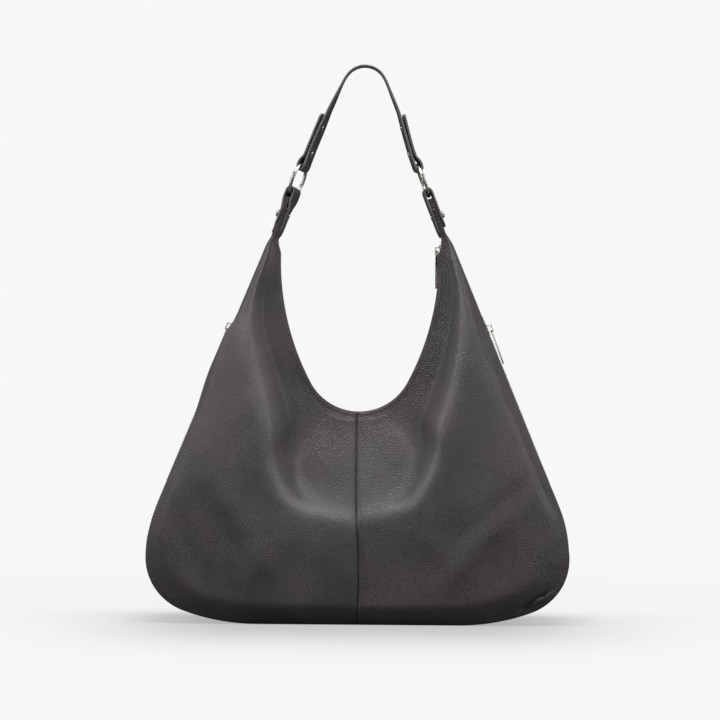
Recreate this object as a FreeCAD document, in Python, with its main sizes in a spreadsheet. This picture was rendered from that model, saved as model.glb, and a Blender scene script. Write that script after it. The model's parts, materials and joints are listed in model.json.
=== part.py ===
"""Slouchy leather hobo bag with a zipped U-shaped mouth, two zipped side pockets and a ring-hung strap.

Frame: millimetres, +Z up, +X to the wearer's right, front of the bag towards -Y.
Origin: middle of the flat base, on the surface the bag stands on.
"""

import FreeCAD, Part  # noqa: E401  FreeCAD has to come first
import math
import os
import re

from FreeCAD import Placement, Rotation, Vector

# ---------------------------------------------------------------- driving dimensions

DIMENSIONS = {
    # leather body, seen from the front
    "body_width": 436,
    "horn_height": 398.4,  # where the gathered horn ends, under its tab
    "toe_radius": 220,
    "toe_angle": 20,
    "corner_radius": 60,
    "hip_radius": 143,
    "neck_span": 74.8,  # centre of the horn's neck from the middle, at neck_height
    "neck_height": 432,
    "neck_width": 11.4,
    # U-shaped mouth
    "mouth_height": 217,
    "mouth_radius": 58,
    "mouth_half_span": 83,
    "waist_height": 375,
    "mouth_half_gap": 10.7,
    # depth of the body
    "base_half_depth": 58,
    "full_depth_height": 90,
    "front_bulge": 12,
    # sheet materials
    "leather": 1.4,
    "lining": 0.5,
    "facing": 0.8,
    "facing_depth": 10,
    "sheet_gap": 0.3,
    # base
    "base_half_length": 96,
    "board_length": 176,
    "board_width": 96,
    "board_thickness": 2.2,
    # zips
    "tape_thickness": 0.7,
    "teeth_half_width": 2.6,
    "teeth_thickness": 2.2,
    "teeth_split": 0.15,
    "top_zip_sink": 3.25,  # middle of the teeth below the mouth's edge
    "side_zip_sink": 2.05,  # middle of the teeth below the gusset's face
    "side_zip_top": 304,
    "side_zip_length": 158,
    "side_tape_half": 13,
    "slot_half_width": 5.8,
    "pocket_half_width": 24,
    "pocket_length": 180,
    "slider_length": 12,
    "slider_width": 9.4,
    "slider_plate": 1.2,
    "slider_channel": 3.4,
    "slider_lip": 0.9,
    "bail_length": 8,
    "bail_height": 5,
    "bail_wall": 1.2,
    "bail_width": 1.8,
    "top_slider_height": 385.5,
    # zip pulls
    "pull_length": 39,
    "pull_width": 7,
    "pull_thickness": 1.4,
    "pull_eye": 7.2,
    "pull_eye_hole": 4.4,
    "pull_window_length": 20,
    "pull_window_width": 3.4,
    "pull_window_depth": 0.5,
    "top_pull_yaw": 22,
    # rings
    "ring_span": 65,
    "ring_height": 458.5,
    "ring_wire": 3.6,
    "ring_inner": 30.8,
    "ring_lean": 21,
    "left_yaw": 18,
    "right_yaw": -3,
    # tabs that hold the rings
    "tab_width": 22,
    "tab_leather": 2.3,
    "tab_gap": 5.2,
    "tab_length": 44,
    "tab_screw_drop": 23,
    # strap
    "strap_width": 20,
    "strap_leather": 2.4,
    "strap_top": 579,
    "strap_top_radius": 27,
    "strap_lean": 18.6,
    "loop_gap": 4.8,
    "flap_gap": 2.2,
    "flap_length": 55,
    "strap_cut": 6,  # where the band meets its folded end, above the ring's wire
    "rivet_first": 12,
    "rivet_spacing": 29,
    # fasteners
    "rivet_head": 7,
    "rivet_head_height": 1.6,
    "rivet_post": 3,
    "hole_clearance": 0.2,
    "screw_barrel": 4,
    "screw_bore": 2.8,
    "screw_head": 7.6,
    "screw_head_height": 3,
    "screw_back": 8,
    "screw_back_height": 1,
    "seat_gap": 0.1,
}

doc = FreeCAD.newDocument("hobo_bag")
sheet = doc.addObject("Spreadsheet::Sheet", "Dimensions")
for row, (alias, size) in enumerate(DIMENSIONS.items(), start=1):
    sheet.set(f"A{row}", alias)
    sheet.set(f"B{row}", str(size))
    sheet.setAlias(f"B{row}", alias)
doc.recompute()

NODES = []


def dim(alias):
    """A driving dimension, as the sheet holds it."""
    return float(sheet.get(alias))


def bound(formula):
    """A formula over the sheet's aliases, as an expression of the document."""
    return re.sub(r"[a-z]\w*", lambda m: f"Dimensions.{m[0]}" if m[0] in DIMENSIONS else m[0], formula)


def keep(thing, name):
    """Marks an object as a sub-part and gives it the name of its file."""
    thing.Label = name
    NODES.append(thing)
    return thing


def keep_shape(name, shape):
    """A sub-part whose shape is worked out here rather than by a feature."""
    thing = doc.addObject("Part::Feature", name)
    thing.Shape = shape
    return keep(thing, name)


# ---------------------------------------------------------------- tracks: chains of arcs and lines


class Track:
    """A planar path of tangent arcs and lines in the XZ plane, measured by its length."""

    def __init__(self):
        self.pieces = []
        self.length = 0.0

    def line(self, start, end):
        size = math.dist(start, end)
        self.pieces.append(("line", start, end, size))
        self.length += size

    def arc(self, centre, radius, first, last):
        size = radius * math.radians(abs(last - first))
        self.pieces.append(("arc", centre, radius, first, last, size))
        self.length += size

    def point(self, distance, inset=0.0):
        """The point that far along, moved by inset towards the right-hand side of the way along."""
        distance = min(max(distance, 0.0), self.length)
        for piece in self.pieces:
            if distance <= piece[-1] + 1e-9 or piece is self.pieces[-1]:
                return self._on(piece, distance / piece[-1], inset)
            distance -= piece[-1]

    @staticmethod
    def _on(piece, share, inset):
        if piece[0] == "line":
            (x0, z0), (x1, z1), size = piece[1:]
            right = ((z1 - z0) / size, -(x1 - x0) / size)
            return (x0 + (x1 - x0) * share + right[0] * inset, z0 + (z1 - z0) * share + right[1] * inset)
        centre, radius, first, last = piece[1:5]
        angle = math.radians(first + (last - first) * share)
        grown = radius + inset * (1 if last > first else -1)
        return (centre[0] + grown * math.cos(angle), centre[1] + grown * math.sin(angle))

    def along(self, test):
        """The length at which test(x, z) turns true, for a test that turns once."""
        low, high = 0.0, self.length
        for _ in range(50):
            middle = (low + high) / 2
            if test(*self.point(middle)):
                high = middle
            else:
                low = middle
        return high

    def wire_edges(self, inset, until):
        """The edges of the path moved by inset, from its start to the length until."""
        edges, done = [], 0.0
        for piece in self.pieces:
            share = min(1.0, (until - done) / piece[-1])
            if share <= 1e-6:
                break
            a, m, b = (self._on(piece, f * share, inset) for f in (0.0, 0.5, 1.0))
            if piece[0] == "line":
                edges.append(Part.LineSegment(flat(a), flat(b)).toShape())
            else:
                edges.append(Part.Arc(flat(a), flat(m), flat(b)).toShape())
            done += piece[-1]
        return edges


def flat(point, y=0.0):
    """A point of the XZ plane as a vector."""
    return Vector(point[0], y, point[1])


def mouth_track():
    """The mouth's right half: from the lowest point of the U to the neck."""
    radius, span, waist = dim("mouth_radius"), dim("mouth_half_span"), dim("waist_height")
    low = dim("mouth_height") + radius
    rise = waist - low
    leg = (span**2 + rise**2 - radius**2) / (2 * (span - radius))
    turn = math.degrees(math.atan2(-rise, leg - span))
    inner = dim("neck_span") - dim("neck_width") / 2
    above = dim("neck_height") - waist
    neck = (above**2 + (span - inner) ** 2) / (2 * (span - inner))
    track = Track()
    track.arc((0.0, low), radius, -90, turn)
    track.arc((span - leg, waist), leg, turn, 0)
    track.arc((span - neck, waist), neck, 0, math.degrees(math.asin(above / neck)))
    return track, leg


def outer_track():
    """The body's right half: along the base, round the corner and up the side to the neck."""
    toe, turn = dim("toe_radius"), dim("toe_angle")
    corner, hip = dim("corner_radius"), dim("hip_radius")
    sine, cosine = math.sin(math.radians(turn)), math.cos(math.radians(turn))
    half = dim("body_width") / 2
    straight = half - toe * sine - corner * (1 - sine)
    corner_x, corner_z = half - corner, toe * (1 - cosine) + corner * cosine
    hip_x = half - hip
    top = (dim("neck_span") + dim("neck_width") / 2, dim("neck_height"))
    reach = math.dist(top, (hip_x, corner_z))
    bearing = math.degrees(math.atan2(top[1] - corner_z, top[0] - hip_x))
    lean = bearing - math.degrees(math.acos(hip / reach))
    track = Track()
    track.line((0.0, 0.0), (straight, 0.0))
    track.arc((straight, toe), toe, -90, turn - 90)
    track.arc((corner_x, corner_z), corner, turn - 90, 0)
    track.arc((hip_x, corner_z), hip, 0, lean)
    end = (hip_x + hip * math.cos(math.radians(lean)), corner_z + hip * math.sin(math.radians(lean)))
    track.line(end, top)
    return track, lean


MOUTH, LEG_RADIUS = mouth_track()
OUTER, SIDE_LEAN = outer_track()

# Ribs run from the mouth to the outer edge. The ones below the U fan out from its centre.
MOUTH_MATCH = MOUTH.pieces[0][-1]
FAN_CENTRE = (0.0, dim("mouth_height") + dim("mouth_radius"))
FAN_END = MOUTH.point(MOUTH_MATCH)
FAN_ANGLE = math.atan2(FAN_END[0] - FAN_CENTRE[0], FAN_CENTRE[1] - FAN_END[1])
OUTER_MATCH = OUTER.along(
    lambda x, z: math.atan2(x - FAN_CENTRE[0], FAN_CENTRE[1] - z) > FAN_ANGLE
)
MOUTH_END = MOUTH.along(lambda x, z: z > dim("horn_height"))
OUTER_END = OUTER.along(lambda x, z: z > dim("horn_height"))


def smooth(low, high, value):
    """0 below low, 1 above high, and a smooth step between."""
    share = min(max((value - low) / (high - low), 0.0), 1.0)
    return share * share * (3 - 2 * share)


# ---------------------------------------------------------------- the leather body as a surface

WIRE_RADIUS = (dim("ring_inner") + dim("ring_wire")) / 2


def lengths(s):
    """How far along the mouth and the outer track a rib's ends lie."""
    if s < 0.5:
        return MOUTH_MATCH * 2 * s, OUTER_MATCH * 2 * s
    share = 2 * s - 1
    return MOUTH_MATCH + (MOUTH_END - MOUTH_MATCH) * share, OUTER_MATCH + (OUTER_END - OUTER_MATCH) * share


def rib(s):
    """The rib at s, from 0 at the centre seam to 1 at the horn's end, as its mouth and outer points."""
    inner, outer = lengths(s)
    return MOUTH.point(inner), OUTER.point(outer)


def stations(start, end):
    """Rib values from start to end, in even steps of the whole but for the first and last."""
    inside = [v for v in spread(0.0, 1.0, 33) if start + 0.012 < v < end - 0.012]
    return [start] + inside + [end]


def edge_half_depth(z):
    """Half the gusset's width at that height."""
    neck, full = dim("mouth_half_gap"), dim("base_half_depth")
    share = (dim("horn_height") - z) / (dim("horn_height") - dim("full_depth_height"))
    share = min(max(share, 0.0), 1.0)
    return neck + (full - neck) * (share * (1.35 - 0.35 * share * share))


def half_depth(s, t):
    """Half the body's depth on rib s, at t from 0 at the mouth to 1 at the outer edge."""
    mouth, outer = dim("mouth_half_gap"), edge_half_depth(rib(s)[1][1])
    ramp = 1 - (1 - t) ** 2.6
    return mouth + (outer - mouth) * ramp + dim("front_bulge") * (1 - s * s) * math.sin(math.pi * t)


def yaw_of(side):
    return dim("right_yaw") if side > 0 else dim("left_yaw")


def body_point(side, s, t, face, inset):
    """A point of the body's skin: side 1 right or -1 left, face 1 back or -1 front, inset inwards."""
    (x0, z0), (x1, z1) = rib(s)
    x, z = x0 + (x1 - x0) * t, z0 + (z1 - z0) * t
    return Vector(side * x, face * (half_depth(s, t) - inset), z)


def skin_between(upper, lower):
    """A closed solid between two grids of points that face each other."""
    surfaces = []
    for grid in (upper, lower):
        surface = Part.BSplineSurface()
        surface.interpolate(grid)
        surfaces.append(surface)
    faces = [surface.toShape() for surface in surfaces]
    bounds = [surface.bounds() for surface in surfaces]
    for which in (0, 1):
        rims = [s.uIso(b[which]).toShape() for s, b in zip(surfaces, bounds)]
        faces.append(Part.makeRuledSurface(*rims))
        rims = [s.vIso(b[which + 2]).toShape() for s, b in zip(surfaces, bounds)]
        faces.append(Part.makeRuledSurface(*rims))
    shell = Part.makeShell(faces)
    shell.sewShape()
    solid = Part.makeSolid(shell)
    if solid.Volume < 0:
        solid.reverse()
    return solid


def spread(start, end, count):
    """count values evenly from start to end."""
    return [start + (end - start) * i / (count - 1) for i in range(count)]


ACROSS = 9


def panel(side, face):
    """A quarter of the leather body, between the centre seam, mouth, horn and outer edge."""
    grids = []
    seam = dim("sheet_gap") / 2
    for inset in (0.0, dim("leather")):
        grid = []
        for s in stations(0.0, 1.0):
            row = [body_point(side, s, t, face, inset) for t in spread(0.0, 1.0, ACROSS)]
            if s == 0.0:
                row = [Vector(side * seam, p.y, p.z) for p in row]
            grid.append(row)
        grids.append(grid)
    return skin_between(*grids)


def make_panels():
    for face, where in ((-1, "front"), (1, "back")):
        for side, hand in ((-1, "left"), (1, "right")):
            keep_shape(f"{where}_panel_{hand}", panel(side, face))


# ---------------------------------------------------------------- gussets, base and lining

def gusset_row(side, s, inset, slack):
    """Points across the gusset at rib s, front to back."""
    length = lengths(s)[1]
    x, z = OUTER.point(length, -inset)
    half = edge_half_depth(OUTER.point(length)[1]) - dim("leather") - slack
    return [Vector(side * x, y, z) for y in spread(-half, half, 5)]


def side_frame(side, length, depth):
    """The frame on the gusset: x up along the side, y to the back, z out of the bag."""
    x, z = OUTER.point(length, -depth)
    lean = math.radians(SIDE_LEAN)
    up = Vector(-side * math.sin(lean), 0, math.cos(lean))
    out = Vector(side * math.cos(lean), 0, math.sin(lean))
    turn = Rotation(up, out.cross(up), out, "ZXY")
    return Placement(Vector(side * x, 0, z), turn)


def local_box(frame, low, high):
    """A box between two corners, in a frame's own axes."""
    size = [h - l for l, h in zip(low, high)]
    box = Part.makeBox(*size, Vector(*low))
    box.Placement = frame.multiply(box.Placement)
    return box


SIDE_ZIP_TOP = OUTER.along(lambda x, z: z > dim("side_zip_top"))
SLOT_OVER = 10.5  # length of slot above the slider's rest and below the bottom stop
GUSSET_SLACK = 0.5


def make_gussets():
    start = (dim("base_half_length") + dim("sheet_gap")) / OUTER_MATCH / 2
    for side, hand in ((-1, "left"), (1, "right")):
        sheet_body = skin_between(
            *(
                [gusset_row(side, s, inset, GUSSET_SLACK) for s in stations(start, 1.0)]
                for inset in (0.0, dim("leather"))
            )
        )
        frame = side_frame(side, SIDE_ZIP_TOP, 0.0)
        slot = local_box(
            frame,
            (-dim("side_zip_length") - SLOT_OVER, -dim("slot_half_width"), -20),
            (SLOT_OVER, dim("slot_half_width"), 20),
        )
        keep_shape(f"side_gusset_{hand}", sheet_body.cut(slot))


def make_base_panel():
    body = doc.addObject("PartDesign::Body", "base_panel")
    outline = rectangle(body, "XY_Plane", "2 * base_half_length", "2 * (base_half_depth - leather - sheet_gap)")
    pad = body.newObject("PartDesign::Pad", "base_sheet")
    pad.Profile = outline
    pad.setExpression("Length", bound("leather"))
    keep(body, "base_panel")


def make_base_board():
    body = doc.addObject("PartDesign::Body", "base_board")
    outline = rectangle(body, "XY_Plane", "board_length", "board_width")
    pad = body.newObject("PartDesign::Pad", "board_blank")
    pad.Profile = outline
    pad.setExpression("Length", bound("board_thickness"))
    doc.recompute()
    corners = body.newObject("PartDesign::Fillet", "board_corners")
    corners.Base = (pad, upright_edges(pad.Shape))
    corners.Radius = BOARD_CORNER
    body.Tip = corners
    body.setExpression("Placement.Base.z", bound("leather + sheet_gap"))
    keep(body, "base_board")


BOARD_CORNER = 12
LINING_DEPTH = 6.6  # lining's strip below the gusset's face, clear of the pocket and the board


LINING_REACH = 0.8


def both_ways(values):
    """The stations of the left half down to the seam, then those of the right half."""
    return [(-1, v) for v in reversed(values)] + [(1, v) for v in values[1:]]


def lining_sheet(face):
    """The lining's front or back, one sheet from side to side behind the leather."""
    grids = []
    first = dim("facing_depth") + 1.0
    for inset in (0.0, dim("lining")):
        grid = []
        for side, s in both_ways(stations(0.0, LINING_REACH)):
            chord = math.dist(*rib(s))
            low, high = first / chord, 1 - LINING_DEPTH / chord
            depth = dim("leather") + 2 * dim("sheet_gap") + inset
            grid.append([body_point(side, s, t, face, depth) for t in spread(low, high, ACROSS)])
        grids.append(grid)
    return skin_between(*grids)


def make_lining():
    keep_shape("lining_front", lining_sheet(-1))
    keep_shape("lining_back", lining_sheet(1))
    slack = 2 * dim("sheet_gap") + dim("lining") + LINING_SIDE_SLACK
    ribs = both_ways(stations(0.0, LINING_REACH))
    grids = [
        [gusset_row(side, s, inset, slack) for side, s in ribs]
        for inset in (LINING_DEPTH, LINING_DEPTH + dim("lining"))
    ]
    keep_shape("lining_gusset", skin_between(*grids))


LINING_SIDE_SLACK = 0.6
POCKET_CLEAR = 0.3
POCKET_WALL = 0.4
POCKET_ROOM = 2.5  # deep enough for the slider's underside
POCKET_OVER = 12.0


def make_side_pockets():
    """A flat fabric pouch behind each side zip, open along the zip."""
    depth = dim("side_zip_sink") + dim("tape_thickness") / 2 + POCKET_CLEAR
    total = 2 * POCKET_WALL + POCKET_ROOM
    half, length = dim("pocket_half_width"), dim("pocket_length")
    for side, hand in ((-1, "left"), (1, "right")):
        frame = side_frame(side, SIDE_ZIP_TOP, 0.0)
        outside = local_box(frame, (-length, -half, -depth - total), (POCKET_OVER, half, -depth))
        inside = local_box(
            frame,
            (-length + POCKET_WALL, -half + POCKET_WALL, -depth - total + POCKET_WALL),
            (POCKET_OVER - POCKET_WALL, half - POCKET_WALL, -depth - POCKET_WALL),
        )
        mouth = local_box(
            frame,
            (-dim("side_zip_length") - 4, -dim("slot_half_width"), -depth - POCKET_WALL - 0.1),
            (POCKET_OVER - 1, dim("slot_half_width"), -depth + 1),
        )
        keep_shape(f"side_pocket_{hand}", outside.cut(inside).cut(mouth))


# ---------------------------------------------------------------- sketch and primitive helpers


def plane(body, role):
    return next(f for f in body.Origin.OriginFeatures if f.Role == role)


def new_sketch(body, role):
    sketch = body.newObject("Sketcher::SketchObject", f"{body.Name}_outline")
    sketch.AttachmentSupport = (plane(body, role), "")
    sketch.MapMode = "FlatFace"
    return sketch


def rectangle(body, role, width, height, low="", left=""):
    """A rectangle sketch, centred, or with its low edge or left edge at a formula's place."""
    import Sketcher

    sketch = new_sketch(body, role)
    corners = [Vector(-1, -1, 0), Vector(1, -1, 0), Vector(1, 1, 0), Vector(-1, 1, 0)]
    for i in range(4):
        sketch.addGeometry(Part.LineSegment(corners[i], corners[(i + 1) % 4]), False)
    for i in range(4):
        sketch.addConstraint(Sketcher.Constraint("Coincident", i, 2, (i + 1) % 4, 1))
    for i, kind in enumerate(("Horizontal", "Vertical", "Horizontal", "Vertical")):
        sketch.addConstraint(Sketcher.Constraint(kind, i))
    wide = sketch.addConstraint(Sketcher.Constraint("DistanceX", 0, 1, 0, 2, 2.0))
    tall = sketch.addConstraint(Sketcher.Constraint("DistanceY", 1, 1, 1, 2, 2.0))
    x = sketch.addConstraint(Sketcher.Constraint("DistanceX", -1, 1, 1, 1, 1.0))
    y = sketch.addConstraint(Sketcher.Constraint("DistanceY", -1, 1, 1, 2, 1.0))
    sketch.setExpression(f"Constraints[{wide}]", bound(width))
    sketch.setExpression(f"Constraints[{tall}]", bound(height))
    right = f"({left}) + {width}" if left else f"({width}) / 2"
    top = f"({low}) + {height}" if low else f"({height}) / 2"
    sketch.setExpression(f"Constraints[{x}]", bound(right))
    sketch.setExpression(f"Constraints[{y}]", bound(top))
    return sketch


def disc(body, role, diameter, rise="0"):
    """A circle sketch on the vertical axis of its plane, at a formula's height."""
    import Sketcher

    sketch = new_sketch(body, role)
    sketch.addGeometry(Part.Circle(Vector(0, 1, 0), Vector(0, 0, 1), 1.0), False)
    size = sketch.addConstraint(Sketcher.Constraint("Diameter", 0, 2.0))
    sketch.addConstraint(Sketcher.Constraint("PointOnObject", 0, 3, -2))
    up = sketch.addConstraint(Sketcher.Constraint("DistanceY", -1, 1, 0, 3, 1.0))
    sketch.setExpression(f"Constraints[{size}]", bound(diameter))
    sketch.setExpression(f"Constraints[{up}]", bound(rise))
    return sketch


def upright_edges(shape, axis=Vector(0, 0, 1)):
    """Names of the straight edges that run along an axis."""
    names = []
    for number, edge in enumerate(shape.Edges, start=1):
        if edge.Curve.TypeId != "Part::GeomLine":
            continue
        way = edge.Vertexes[-1].Point - edge.Vertexes[0].Point
        if way.Length > 0 and abs(abs(way.normalize().dot(axis)) - 1) < 1e-6:
            names.append(f"Edge{number}")
    return names


def box(name, size, corner):
    """A Part::Box whose size and corner are formulas over the sheet."""
    thing = doc.addObject("Part::Box", name)
    for prop, formula in zip(("Length", "Width", "Height"), size):
        thing.setExpression(prop, bound(formula))
    for axis, formula in zip("xyz", corner):
        thing.setExpression(f"Placement.Base.{axis}", bound(formula))
    return thing


TURNS = {
    "x": Rotation(Vector(0, 1, 0), 90),
    "y": Rotation(Vector(1, 0, 0), -90),
    "z": Rotation(),
}


def cylinder(name, radius, height, base, axis):
    """A Part::Cylinder along x, y or z, sized and placed by formulas."""
    thing = doc.addObject("Part::Cylinder", name)
    thing.setExpression("Radius", bound(radius))
    thing.setExpression("Height", bound(height))
    thing.Placement = Placement(Vector(), TURNS[axis])
    for letter, formula in zip("xyz", base):
        thing.setExpression(f"Placement.Base.{letter}", bound(formula))
    return thing


def fuse(name, things):
    joined = doc.addObject("Part::MultiFuse", name)
    joined.Shapes = things
    return joined


def cut(name, base, tool):
    made = doc.addObject("Part::Cut", name)
    made.Base, made.Tool = base, tool
    return made


# ---------------------------------------------------------------- mouth: facings, zip tapes and teeth

MOUTH_ZIP_TOP = MOUTH.along(lambda x, z: z > dim("horn_height") - 3.6)


def mouth_strip(near, far, front, back, left, right):
    """A strip along the mouth between two depths below its edge and two places in Y.

    left and right are how far along the mouth's half it reaches on each side.
    """
    near_right = MOUTH.wire_edges(near, right)
    far_right = MOUTH.wire_edges(far, right)
    near_left = [mirrored(e) for e in MOUTH.wire_edges(near, left)]
    far_left = [mirrored(e) for e in MOUTH.wire_edges(far, left)]
    ends = [
        Part.LineSegment(flat(MOUTH.point(right, near)), flat(MOUTH.point(right, far))).toShape(),
        mirrored(Part.LineSegment(flat(MOUTH.point(left, near)), flat(MOUTH.point(left, far))).toShape()),
    ]
    wire = Part.Wire(Part.__sortEdges__(near_right + far_right + near_left + far_left + ends))
    face = Part.Face(wire)
    face.translate(Vector(0, front, 0))
    return face.extrude(Vector(0, back - front, 0))


def mirrored(shape):
    return shape.mirror(Vector(), Vector(1, 0, 0))


TEETH_INTO_SLIDER = 1.0  # how far the closed teeth reach past the slider's middle
TOP_SLIDER_AT = MOUTH.along(lambda x, z: z > dim("top_slider_height"))
STOP_LENGTH = 2.2
STOP_CLEAR = 0.8


def make_mouth():
    gap, leather, slack = dim("mouth_half_gap"), dim("leather"), dim("sheet_gap")
    outside = gap - leather - slack
    inside = outside - dim("facing")
    tape_edge = inside - slack
    teeth_edge = dim("teeth_half_width") + slack
    sink, half = dim("top_zip_sink"), dim("tape_thickness") / 2
    teeth = dim("teeth_thickness") / 2
    split = dim("teeth_split")
    closed = TOP_SLIDER_AT + TEETH_INTO_SLIDER
    low_end = MOUTH_ZIP_TOP - 2 * STOP_LENGTH
    for face, where in ((-1, "front"), (1, "back")):
        keep_shape(
            f"mouth_facing_{where}",
            mouth_strip(slack, dim("facing_depth"), *ordered(face * inside, face * outside), MOUTH_ZIP_TOP, MOUTH_ZIP_TOP),
        )
        keep_shape(
            f"top_zip_tape_{where}",
            mouth_strip(sink - half, sink + half, *ordered(face * teeth_edge, face * tape_edge), MOUTH_ZIP_TOP, MOUTH_ZIP_TOP),
        )
        keep_shape(
            f"top_zip_teeth_{where}",
            mouth_strip(sink - teeth, sink + teeth, *ordered(face * split, face * dim("teeth_half_width")), low_end, closed),
        )
    keep_shape("top_zip_stops", Part.makeCompound(top_zip_stops(low_end)))


def ordered(a, b):
    return (min(a, b), max(a, b))


def mouth_frame(side, length, depth):
    """The frame on the mouth's edge: x up towards the horn, y to the back, z out into the opening."""
    x, z = MOUTH.point(length, depth)
    ahead = MOUTH.point(min(length + 0.01, MOUTH.length), depth)
    behind = MOUTH.point(length - 0.01, depth)
    up = Vector(side * (ahead[0] - behind[0]), 0, ahead[1] - behind[1]).normalize()
    out = Vector(-side * up.z, 0, side * up.x)
    turn = Rotation(up, out.cross(up), out, "ZXY")
    return Placement(Vector(side * x, 0, z), turn)


def stop_block(frame, low_y, high_y, start):
    """A crimped metal stop, which wraps one tape's edge or both."""
    half = dim("teeth_thickness") / 2
    return local_box(frame, (start, low_y, -half), (start + STOP_LENGTH, high_y, half))


def top_zip_stops(low_end):
    """Two stops above the slider on the right and one across the teeth's far end on the left."""
    width, split = dim("teeth_half_width"), dim("teeth_split")
    above = dim("slider_length") / 2 + STOP_CLEAR
    frame = mouth_frame(1, TOP_SLIDER_AT, dim("top_zip_sink"))
    stops = [stop_block(frame, split, width, above), stop_block(frame, -width, -split, above)]
    frame = mouth_frame(-1, low_end, dim("top_zip_sink"))
    stops.append(stop_block(frame, -width, width, dim("sheet_gap")))
    return stops


# ---------------------------------------------------------------- side zips


def make_side_zips():
    slack, half = dim("sheet_gap"), dim("tape_thickness") / 2
    teeth, split = dim("teeth_thickness") / 2, dim("teeth_split")
    width, length = dim("teeth_half_width"), dim("side_zip_length")
    above = dim("slider_length") / 2 + STOP_CLEAR
    for side, hand in ((-1, "left"), (1, "right")):
        frame = side_frame(side, SIDE_ZIP_TOP, dim("side_zip_sink"))
        for face, where in ((-1, "front"), (1, "back")):
            low, high = ordered(-side * face * (width + slack), -side * face * dim("side_tape_half"))
            tape = local_box(frame, (-length - SLOT_OVER, low, -half), (SLOT_OVER + 1, high, half))
            keep_shape(f"side_zip_tape_{where}_{hand}", tape)
            low, high = ordered(-side * face * split, -side * face * width)
            row = local_box(frame, (-length, low, -teeth), (TEETH_INTO_SLIDER, high, teeth))
            keep_shape(f"side_zip_teeth_{where}_{hand}", row)
        stops = [
            stop_block(frame, split, width, above),
            stop_block(frame, -width, -split, above),
            stop_block(frame, -width, width, -length - slack - STOP_LENGTH),
        ]
        keep_shape(f"side_zip_stops_{hand}", Part.makeCompound(stops))


# ---------------------------------------------------------------- sliders and pulls


def make_slider(name, frame):
    """A zip slider: two plates joined by a post, lips beside the tapes, and a bail for the pull.

    Local frame: x towards the closed end, y across, z outwards, origin at the middle of the teeth.
    """
    half = "slider_channel / 2"
    plates = []
    for word, z in (("top", half), ("under", f"-{half} - slider_plate")):
        plates.append(
            box(
                f"{name}_{word}_plate",
                ("slider_length", "slider_width", "slider_plate"),
                ("-slider_length / 2", "-slider_width / 2", z),
            )
        )
    post = box(
        f"{name}_post",
        ("2.4", "1.8", "slider_channel"),
        ("slider_length / 2 - 2.8", "-0.9", f"-{half}"),
    )
    lips = []
    for word, z in (("top", f"{half} - slider_lip"), ("under", f"-{half}")):
        for edge, y in (("front", "-slider_width / 2"), ("back", "slider_width / 2 - 1.1")):
            lips.append(
                box(f"{name}_{word}_{edge}_lip", ("slider_length", "1.1", "slider_lip"), ("-slider_length / 2", y, z))
            )
    arch = box(
        f"{name}_bail_blank",
        ("bail_length", "bail_width", "bail_height"),
        ("-bail_length / 2", "-bail_width / 2", f"{half} + slider_plate"),
    )
    window = box(
        f"{name}_bail_window",
        ("bail_length - 2 * bail_wall", "bail_width + 2", "bail_height - bail_wall"),
        ("-bail_length / 2 + bail_wall", "-bail_width / 2 - 1", f"{half} + slider_plate"),
    )
    bail = cut(f"{name}_bail", arch, window)
    whole = fuse(f"{name}_whole", plates + lips + [post, bail])
    whole.Placement = frame
    return keep(whole, name)


def make_pull(name, frame):
    """A flat zip pull: a round eye above a long bar with a shallow window in both faces.

    Local frame: z up, origin at the middle of the eye's top wall, flat faces towards -x and +x.
    """
    body = doc.addObject("PartDesign::Body", name)
    eye_drop = "(pull_eye - (pull_eye - pull_eye_hole) / 2) / 2"
    bar_top = f"{eye_drop} + pull_eye_hole / 2 + 0.4"
    eye = body.newObject("PartDesign::Pad", f"{name}_eye")
    eye.Profile = disc(body, "YZ_Plane", "pull_eye", f"-({eye_drop})")
    eye.setExpression("Length", bound("pull_thickness"))
    eye.Midplane = True
    bar = body.newObject("PartDesign::Pad", f"{name}_bar")
    bar.Profile = rectangle(
        body, "YZ_Plane", "pull_width", f"pull_length - ({bar_top})", low="-pull_length"
    )
    bar.setExpression("Length", bound("pull_thickness"))
    bar.Midplane = True
    hole = body.newObject("PartDesign::Pocket", f"{name}_eye_hole")
    hole.Profile = disc(body, "YZ_Plane", "pull_eye_hole", f"-({eye_drop})")
    hole.Type = 1
    hole.Midplane = True
    window_low = "-pull_length + (pull_width - pull_window_width) / 2"
    previous = hole
    for word, gone, back in (("front", "", False), ("back", "-", True)):
        window = body.newObject("PartDesign::Pocket", f"{name}_{word}_window")
        outline = rectangle(body, "YZ_Plane", "pull_window_width", "pull_window_length", low=window_low)
        shift = "pull_thickness / 2 - pull_window_depth"
        outline.setExpression(".AttachmentOffset.Base.z", bound(f"{gone}({shift})"))
        window.Profile = outline
        window.Length = 2
        window.Reversed = not back
        previous = window
    doc.recompute()
    body.Tip = previous
    body.Placement = frame
    return keep(body, name)


def pull_frame(slider_frame, tilt, yaw):
    """Where a pull hangs in a slider's bail: down the zip, tilted out of its plane and yawed."""
    height = dim("slider_channel") / 2 + dim("slider_plate") + dim("bail_height") - dim("bail_wall")
    turned = math.radians(yaw)
    rise = dim("bail_width") / 2 * math.tan(turned) + dim("pull_thickness") / 2 / math.cos(turned)
    place = Placement(Vector(0, 0, height - BAIL_SLACK - rise), Rotation())
    hang = Rotation(Vector(0, 1, 0), 90 - tilt) * Rotation(Vector(0, 0, 1), yaw)
    return slider_frame.multiply(place).multiply(Placement(Vector(), hang))


BAIL_SLACK = 0.3
SIDE_PULL_TILT = 2.0


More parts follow.
